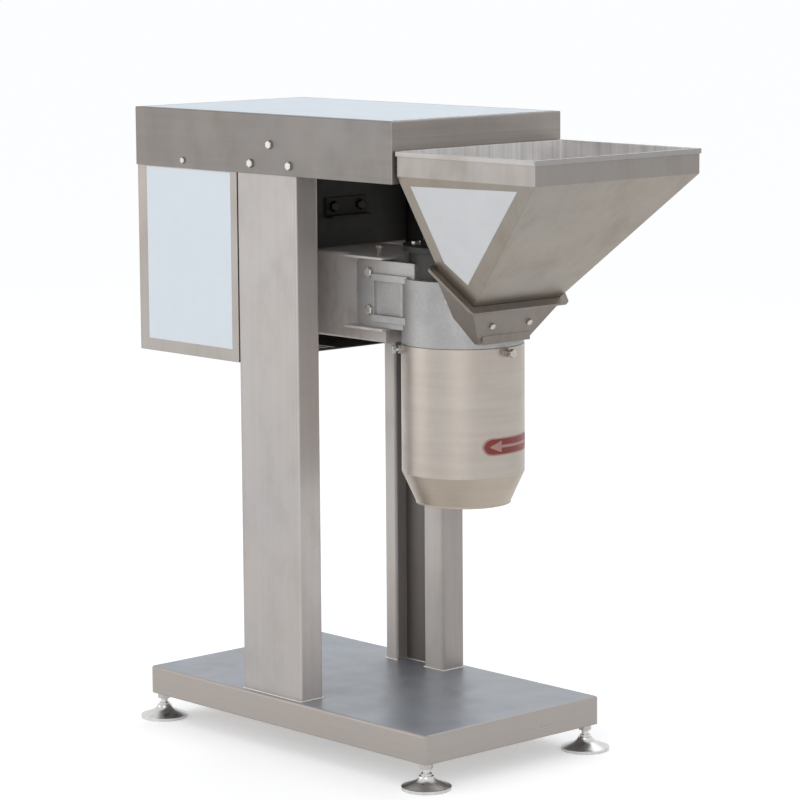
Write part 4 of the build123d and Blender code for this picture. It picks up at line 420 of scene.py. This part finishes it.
material_nodes = {
    "tray": ["base_tray"],
    "plate": ["tray_underframe"],
    "bolt": [
        "foot_lock_nuts", "motor_plate_bolts", "cover_bolts", "motor_foot_bolts",
        "cheek_bolts", "chute_bolts", "bearing_flange_bolts", "drum_screw_1",
        "drum_screw_2", "drum_screw_3",
    ],
    "foot": [
        "levelling_foot_rear_near", "levelling_foot_front_near", "levelling_foot_rear_far",
        "levelling_foot_front_far",
    ],
    "column": ["near_column"],
    "posts": ["rear_posts"],
    "post_panel": ["rear_column_panel"],
    "arm": ["cross_beam", "head_arm"],
    "threaded": ["height_screw_near", "height_screw_far"],
    "inner": ["drive_guard", "motor_plate", "belt_floor"],
    "stay": ["stay_bracket"],
    "stay_bolt": ["stay_bolts"],
    "case": ["motor_cover", "motor_side_panel", "motor_cover_floor"],
    "gland": ["cable_gland"],
    "switch": ["switch_box"],
    "green": ["start_button"],
    "red": ["stop_button"],
    "cover": ["belt_cover"],
    "motor": ["motor_body", "motor_end_shields", "motor_fan_cowl", "terminal_box"],
    "stator": ["motor_stator"],
    "shaft": [
        "motor_shaft", "spindle_bearings", "bearing_cap", "rotor_nut", "blade_spacers",
        "spindle",
    ],
    "fan": ["motor_fan"],
    "pulley": ["motor_pulley", "spindle_pulley"],
    "belt": ["drive_belts"],
    "hopper": ["hopper_body"],
    "rim": ["hopper_rim"],
    "chute": ["feed_chute"],
    "cast": ["cutter_housing"],
    "bearing": ["bearing_housing"],
    "seal": ["shaft_seal"],
    "knife": ["rotor_blades", "fixed_knife_ring"],
    "drum": ["discharge_drum"],
}
node_material = {node: name for name, members in material_nodes.items() for node in members}
for name, node in nodes.items():
    material = materials[node_material[name]]
    if not node.material_slots:
        node.data.materials.append(material)
    for slot in node.material_slots:
        slot.material = material


# Pieces in mesh code
def finished_piece(name, mesh, material, body):
    mesh.normal_update()
    data = bpy.data.meshes.new(name)
    mesh.to_mesh(data)
    mesh.free()
    piece = bpy.data.objects.new(name, data)
    scene.collection.objects.link(piece)
    data.materials.append(materials[material])
    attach(piece, body)
    return piece


def surface_of(node):
    """The node's faces for looking up points on its surface."""
    mesh = bmesh.new()
    mesh.from_mesh(nodes[node].data)
    tree = BVHTree.FromBMesh(mesh)
    mesh.free()
    return tree


film_thickness = 0.0002
film_gap = 0.00003
ray_start = 0.05
ray_reach = 0.25


def points_on_node(node, corners, direction, steps, ragged):
    """A grid of points between four corners, each moved along direction onto the node."""
    tree = surface_of(node)
    direction = Vector(direction).normalized()
    a, b, c, d = [Vector(corner) for corner in corners]
    columns, rows = steps
    offsets = [random.uniform(-1, 1) for _ in range(rows + 1)]
    points = []
    for j in range(rows + 1):
        for i in range(columns + 1):
            u = i / columns
            spot = a.lerp(b, u).lerp(d.lerp(c, u), j / rows)
            if ragged and i == columns:
                spot = spot + (a - b).normalized() * ragged * (0.5 + 0.5 * offsets[j])
            hit, normal, _, _ = tree.ray_cast(spot - direction * ray_start, direction, ray_reach)
            if hit is None:
                hit, normal, _, _ = tree.find_nearest(spot)
            if normal.dot(direction) > 0:
                normal = -normal
            points.append((hit, normal))
    return points


def laid_film(name, corners, node, direction, material, body, steps=(24, 24), ragged=0.0):
    """A thin film laid on a node, between four corners."""
    points = points_on_node(node, corners, direction, steps, ragged)
    columns, rows = steps
    width = columns + 1
    mesh = bmesh.new()
    low, high = [
        [mesh.verts.new(point + normal * lift) for point, normal in points]
        for lift in (film_gap, film_thickness)
    ]
    for j in range(rows):
        for i in range(columns):
            k = j * width + i
            mesh.faces.new((low[k], low[k + width], low[k + width + 1], low[k + 1]))
            mesh.faces.new((high[k], high[k + 1], high[k + width + 1], high[k + width]))
    border = list(range(columns))
    border += [columns + j * width for j in range(rows)]
    border += [rows * width + columns - i for i in range(columns)]
    border += [(rows - j) * width for j in range(rows)]
    for k, n in zip(border, border[1:] + border[:1]):
        mesh.faces.new((low[k], low[n], high[n], high[k]))
    bmesh.ops.recalc_face_normals(mesh, faces=mesh.faces)
    return finished_piece(name, mesh, material, body)


bead_sides = 8
bead_ripple = 0.0032


def along_path(path, step):
    """Points along straight runs, a step apart."""
    points = [Vector(point) for point in path]
    samples = []
    for start, end in zip(points, points[1:]):
        count = max(2, int((end - start).length / step))
        samples += [start.lerp(end, index / count) for index in range(count)]
    return samples + [points[-1]]


def weld_bead(name, path, radius):
    """A rippled bead on the frame along straight runs, half sunk in the joint."""
    samples = along_path(path, bead_ripple / 4)
    mesh = bmesh.new()
    rings = []
    travelled = 0.0
    for index, spot in enumerate(samples):
        ahead = samples[min(index + 1, len(samples) - 1)]
        behind = samples[max(index - 1, 0)]
        along = (ahead - behind).normalized()
        travelled += (spot - behind).length / 2 if index else 0
        across = Vector((0, 0, 1)).cross(along)
        if across.length < 0.1:
            across = Vector((1, 0, 0))
        across.normalize()
        up = along.cross(across).normalized()
        phase = (travelled % bead_ripple) / bead_ripple
        size = radius * (0.78 + 0.22 * math.sin(math.pi * phase)) * random.uniform(0.93, 1.07)
        ring = []
        for side in range(bead_sides):
            angle = 2 * math.pi * side / bead_sides
            outward = across * math.cos(angle) + up * math.sin(angle) * 0.8
            ring.append(mesh.verts.new(spot + outward * size))
        rings.append(ring)
    for first, second in zip(rings, rings[1:]):
        for side in range(bead_sides):
            n = (side + 1) % bead_sides
            mesh.faces.new((first[side], first[n], second[n], second[side]))
    mesh.faces.new(list(reversed(rings[0])))
    mesh.faces.new(rings[-1])
    bmesh.ops.recalc_face_normals(mesh, faces=mesh.faces)
    for face in mesh.faces:
        face.smooth = True
    return finished_piece(name, mesh, "weld", "frame")


def rectangle(low_x, low_y, high_x, high_y, z):
    """Four level corners."""
    return [(low_x, low_y, z), (high_x, low_y, z), (high_x, high_y, z), (low_x, high_y, z)]


def closed(corners):
    return corners + corners[:1]


# Protective films on the motor cover, the belt cover and the hopper
case_film_x = (-0.4595, -0.2335)
case_film_z = (0.675, 0.9745)
laid_film(
    "motor_cover_film",
    [(case_film_x[i], case_near_y, case_film_z[j]) for i, j in ((0, 0), (1, 0), (1, 1), (0, 1))],
    "motor_cover", (0, 1, 0), "film", "frame",
)
top_film_margin = 0.010
top_film_front_margin = 0.009
laid_film(
    "cover_top_film",
    rectangle(
        cover_low.x + top_film_margin, cover_low.y + top_film_margin,
        cover_high.x - top_film_front_margin, cover_high.y - top_film_margin, cover_high.z,
    ),
    "belt_cover", (0, 0, -1), "top_film", "frame", (40, 60), ragged=0.010,
)

# Corners of the hopper's film in x and z: the lower one is clipped
hopper_film_corners = ((0.2219, 0.8495), (0.2614, 0.8161), (0.4421, 0.9795), (0.1991, 0.9743))
laid_film(
    "hopper_film",
    [(x, hopper_low.y, z) for x, z in hopper_film_corners],
    "hopper_body", (0, 1, 0), "hopper_film", "hopper", (30, 30),
)

# Weld beads at the feet of the columns and where the arm meets the beam
column_bead = 0.0026
post_bead = 0.0022
panel_bead = 0.0018
arm_bead = 0.0024
arm_weld_half_width = 0.075
arm_weld_inset = 0.003
near_column_foot = rectangle(column_low.x, column_low.y, column_high.x, column_high.y, tray_top)
rear_post_foot = rectangle(posts_low.x, posts_low.y, panel_low.x, posts_high.y, tray_top)
front_post_foot = rectangle(panel_high.x, posts_low.y, posts_high.x, posts_high.y, tray_top)
weld_bead("near_column_weld", closed(near_column_foot), column_bead)
weld_bead("rear_post_weld_rear", closed(rear_post_foot), post_bead)
weld_bead("rear_post_weld_front", closed(front_post_foot), post_bead)
panel_foot = [(panel_low.x, panel_low.y, tray_top), (panel_high.x, panel_low.y, tray_top)]
weld_bead("rear_panel_weld", panel_foot, panel_bead)
arm_weld_z = (arm_low.z + arm_weld_inset, arm_high.z - arm_weld_inset)
arm_outline = [
    (beam_front_x, side * arm_weld_half_width, arm_weld_z[end])
    for side, end in ((-1, 0), (-1, 1), (1, 1), (1, 0))
]
weld_bead("arm_weld", closed(arm_outline), arm_bead)


# Straight lip along the foot of the chute's front plate, ahead of the round housing
def prism(name, section, low_y, high_y, material, body):
    """A bar along Y, from a section given as x and z."""
    mesh = bmesh.new()
    ends = [[mesh.verts.new((x, y, z)) for x, z in section] for y in (low_y, high_y)]
    for end in ends:
        mesh.faces.new(end)
    for index in range(len(section)):
        after = (index + 1) % len(section)
        mesh.faces.new((ends[0][index], ends[0][after], ends[1][after], ends[1][index]))
    bmesh.ops.recalc_face_normals(mesh, faces=mesh.faces)
    return finished_piece(name, mesh, material, body)


lip_height = 0.014
lip_gap = 0.001
lip_sheet = 0.001
lip_half_width = 0.0535
lip_top = chute_foot_z + lip_height
plate_x = surface_of("feed_chute").ray_cast(Vector((1, 0, lip_top)), Vector((-1, 0, 0)))[0].x
lip_x = spindle_x + housing_radius + lip_gap
prism(
    "chute_foot_lip",
    [
        (lip_x, chute_foot_z), (lip_x + lip_sheet, chute_foot_z),
        (plate_x + 0.0003, lip_top), (plate_x - lip_sheet, lip_top),
    ],
    -lip_half_width, lip_half_width, "chute", "frame",
)


# Arrow sticker on the drum
patch_thickness = 0.00015


def drum_patch(name, lower, upper, lift, material):
    """A thin patch on the drum, from two edges in degrees around it and metres of height."""
    outline = lower + upper[::-1]
    mesh = bmesh.new()
    rings = []
    for radius in (drum_radius + lift, drum_radius + lift + patch_thickness):
        ring = []
        for degrees, z in outline:
            angle = math.radians(degrees)
            spot = (spindle_x + radius * math.cos(angle), radius * math.sin(angle), z)
            ring.append(mesh.verts.new(spot))
        rings.append(ring)
    total = len(outline)
    for ring in rings:
        for k in range(len(lower) - 1):
            mesh.faces.new((ring[k], ring[k + 1], ring[total - 2 - k], ring[total - 1 - k]))
    for k in range(total):
        n = (k + 1) % total
        mesh.faces.new((rings[0][k], rings[0][n], rings[1][n], rings[1][k]))
    bmesh.ops.recalc_face_normals(mesh, faces=mesh.faces)
    return finished_piece(name, mesh, material, "drum")


def banded(start, end, low, high, round_end, steps=40):
    """Both edges of a band around the drum whose ends are rounded by round_end degrees."""
    middle, half = (low + high) / 2, (high - low) / 2
    lower, upper = [], []
    for k in range(steps + 1):
        degrees = start + (end - start) * k / steps
        reach = min(1.0, min(degrees - start, end - degrees) / round_end)
        width = half * math.sqrt(max(0.02, 1 - (1 - reach) ** 2))
        lower.append((degrees, middle - width))
        upper.append((degrees, middle + width))
    return lower, upper


def tapered(start, end, start_half, end_half, middle, steps):
    """Both edges of a band around the drum whose half height goes from one value to another."""
    lower, upper = [], []
    for k in range(steps + 1):
        degrees = start + (end - start) * k / steps
        half = start_half + (end_half - start_half) * k / steps
        lower.append((degrees, middle - half))
        upper.append((degrees, middle + half))
    return lower, upper


arrow_z = 0.5415
arrow_tip, arrow_neck, arrow_tail = -18, -6, 40
drum_patch("arrow_sticker_edge", *banded(-26, 48, 0.5270, 0.5560, 10), 0.00003, "sticker_pale")
drum_patch("arrow_sticker", *banded(-24, 46, 0.5292, 0.5538, 9), 0.00022, "sticker_red")
head = tapered(arrow_tip, arrow_neck, 0.0012, 0.0100, arrow_z, 12)
drum_patch("arrow_head", *head, 0.00041, "sticker_pale")
shaft = tapered(arrow_neck, arrow_tail, 0.0024, 0.0024, arrow_z, 20)
drum_patch("arrow_shaft", *shaft, 0.00041, "sticker_pale")


# Floor: pale under the lamps and white where it is seen
floor_half_size = 120
floor_gap = 0.0002
floor_glow = 0.42


def seen_directly(tree):
    """1 for what the camera, a reflection or a refraction sees, and 0 for what lights."""
    path = tree.nodes.new("ShaderNodeLightPath")
    total = path.outputs["Is Camera Ray"]
    for ray in ("Is Glossy Ray", "Is Transmission Ray"):
        add = tree.nodes.new("ShaderNodeMath")
        add.operation = "ADD"
        add.use_clamp = True
        link(tree, total, add.inputs[0])
        link(tree, path.outputs[ray], add.inputs[1])
        total = add.outputs["Value"]
    return total


floor_mesh = bmesh.new()
bmesh.ops.create_grid(floor_mesh, x_segments=1, y_segments=1, size=floor_half_size)
floor_data = bpy.data.meshes.new("floor")
floor_mesh.to_mesh(floor_data)
floor_mesh.free()
floor = bpy.data.objects.new("floor", floor_data)
scene.collection.objects.link(floor)
floor.location.z = -floor_gap
floor_material, tree, shader = new_material("floor_white")
shader.inputs["Base Color"].default_value = (0.80, 0.80, 0.80, 1)
shader.inputs["Roughness"].default_value = 1.0
shader.inputs["Specular IOR Level"].default_value = 0.0
shader.inputs["Emission Color"].default_value = (1, 1, 1, 1)
glow = tree.nodes.new("ShaderNodeMath")
glow.operation = "MULTIPLY"
glow.inputs[1].default_value = floor_glow
link(tree, seen_directly(tree), glow.inputs[0])
link(tree, glow.outputs["Value"], shader.inputs["Emission Strength"])
floor_data.materials.append(floor_material)

# World: plain light, and white where it is seen
world = bpy.data.worlds.new("studio")
scene.world = world
world.use_nodes = True
tree = world.node_tree
tree.nodes.clear()
output = tree.nodes.new("ShaderNodeOutputWorld")
lit = tree.nodes.new("ShaderNodeBackground")
lit.inputs["Color"].default_value = (0.97, 0.985, 1.0, 1)
lit.inputs["Strength"].default_value = 0.72
white = tree.nodes.new("ShaderNodeBackground")
white.inputs["Color"].default_value = (1, 1, 1, 1)
white.inputs["Strength"].default_value = 1.0
choice = tree.nodes.new("ShaderNodeMixShader")
link(tree, seen_directly(tree), choice.inputs[0])
link(tree, lit.outputs["Background"], choice.inputs[1])
link(tree, white.outputs["Background"], choice.inputs[2])
link(tree, choice.outputs["Shader"], output.inputs["Surface"])


def area_light(name, place, target, size, power, colour=(1, 1, 1)):
    data = bpy.data.lights.new(name, "AREA")
    data.shape = "RECTANGLE"
    data.size, data.size_y = size
    data.energy = power
    data.color = colour
    lamp = bpy.data.objects.new(name, data)
    scene.collection.objects.link(lamp)
    lamp.location = place
    lamp.rotation_mode = "QUATERNION"
    lamp.rotation_quaternion = (Vector(target) - Vector(place)).to_track_quat("-Z", "Y")
    return lamp


body_middle = (0, 0, 0.55)
tray_middle = (0, 0, 0.4)
area_light("key", (-3.4, -4.2, 1.5), body_middle, (3.0, 2.6), 34, (1.0, 0.985, 0.97))
area_light("front", (3.0, -3.6, 1.9), body_middle, (2.4, 2.2), 34)
area_light("top", (-1.2, 2.2, 3.6), tray_middle, (3.0, 2.4), 30, (0.90, 0.95, 1.0))

# Camera at the photo's angle
azimuth, elevation, roll = math.radians(47.4), math.radians(8.4), math.radians(-0.4)
camera_lens = 147.04
camera_distance = 5.5152
aim = Vector((-0.0234, 0, 0.5902))
level = math.cos(elevation)
back = Vector((math.sin(azimuth) * level, -math.cos(azimuth) * level, math.sin(elevation)))
right = Vector((math.cos(azimuth), math.sin(azimuth), 0))
up = back.cross(right)
rolled_right = right * math.cos(roll) + up * math.sin(roll)
rolled_up = up * math.cos(roll) - right * math.sin(roll)
camera_data = bpy.data.cameras.new("camera")
camera = bpy.data.objects.new("camera", camera_data)
scene.collection.objects.link(camera)
camera_data.sensor_width = 36
camera_data.lens = camera_lens
camera_data.clip_start, camera_data.clip_end = 0.05, 400
place = aim + back * camera_distance
turn = Matrix((rolled_right, rolled_up, back)).transposed().to_4x4()
camera.matrix_world = Matrix.Translation(place) @ turn
scene.camera = camera

scene.view_settings.view_transform = "Standard"
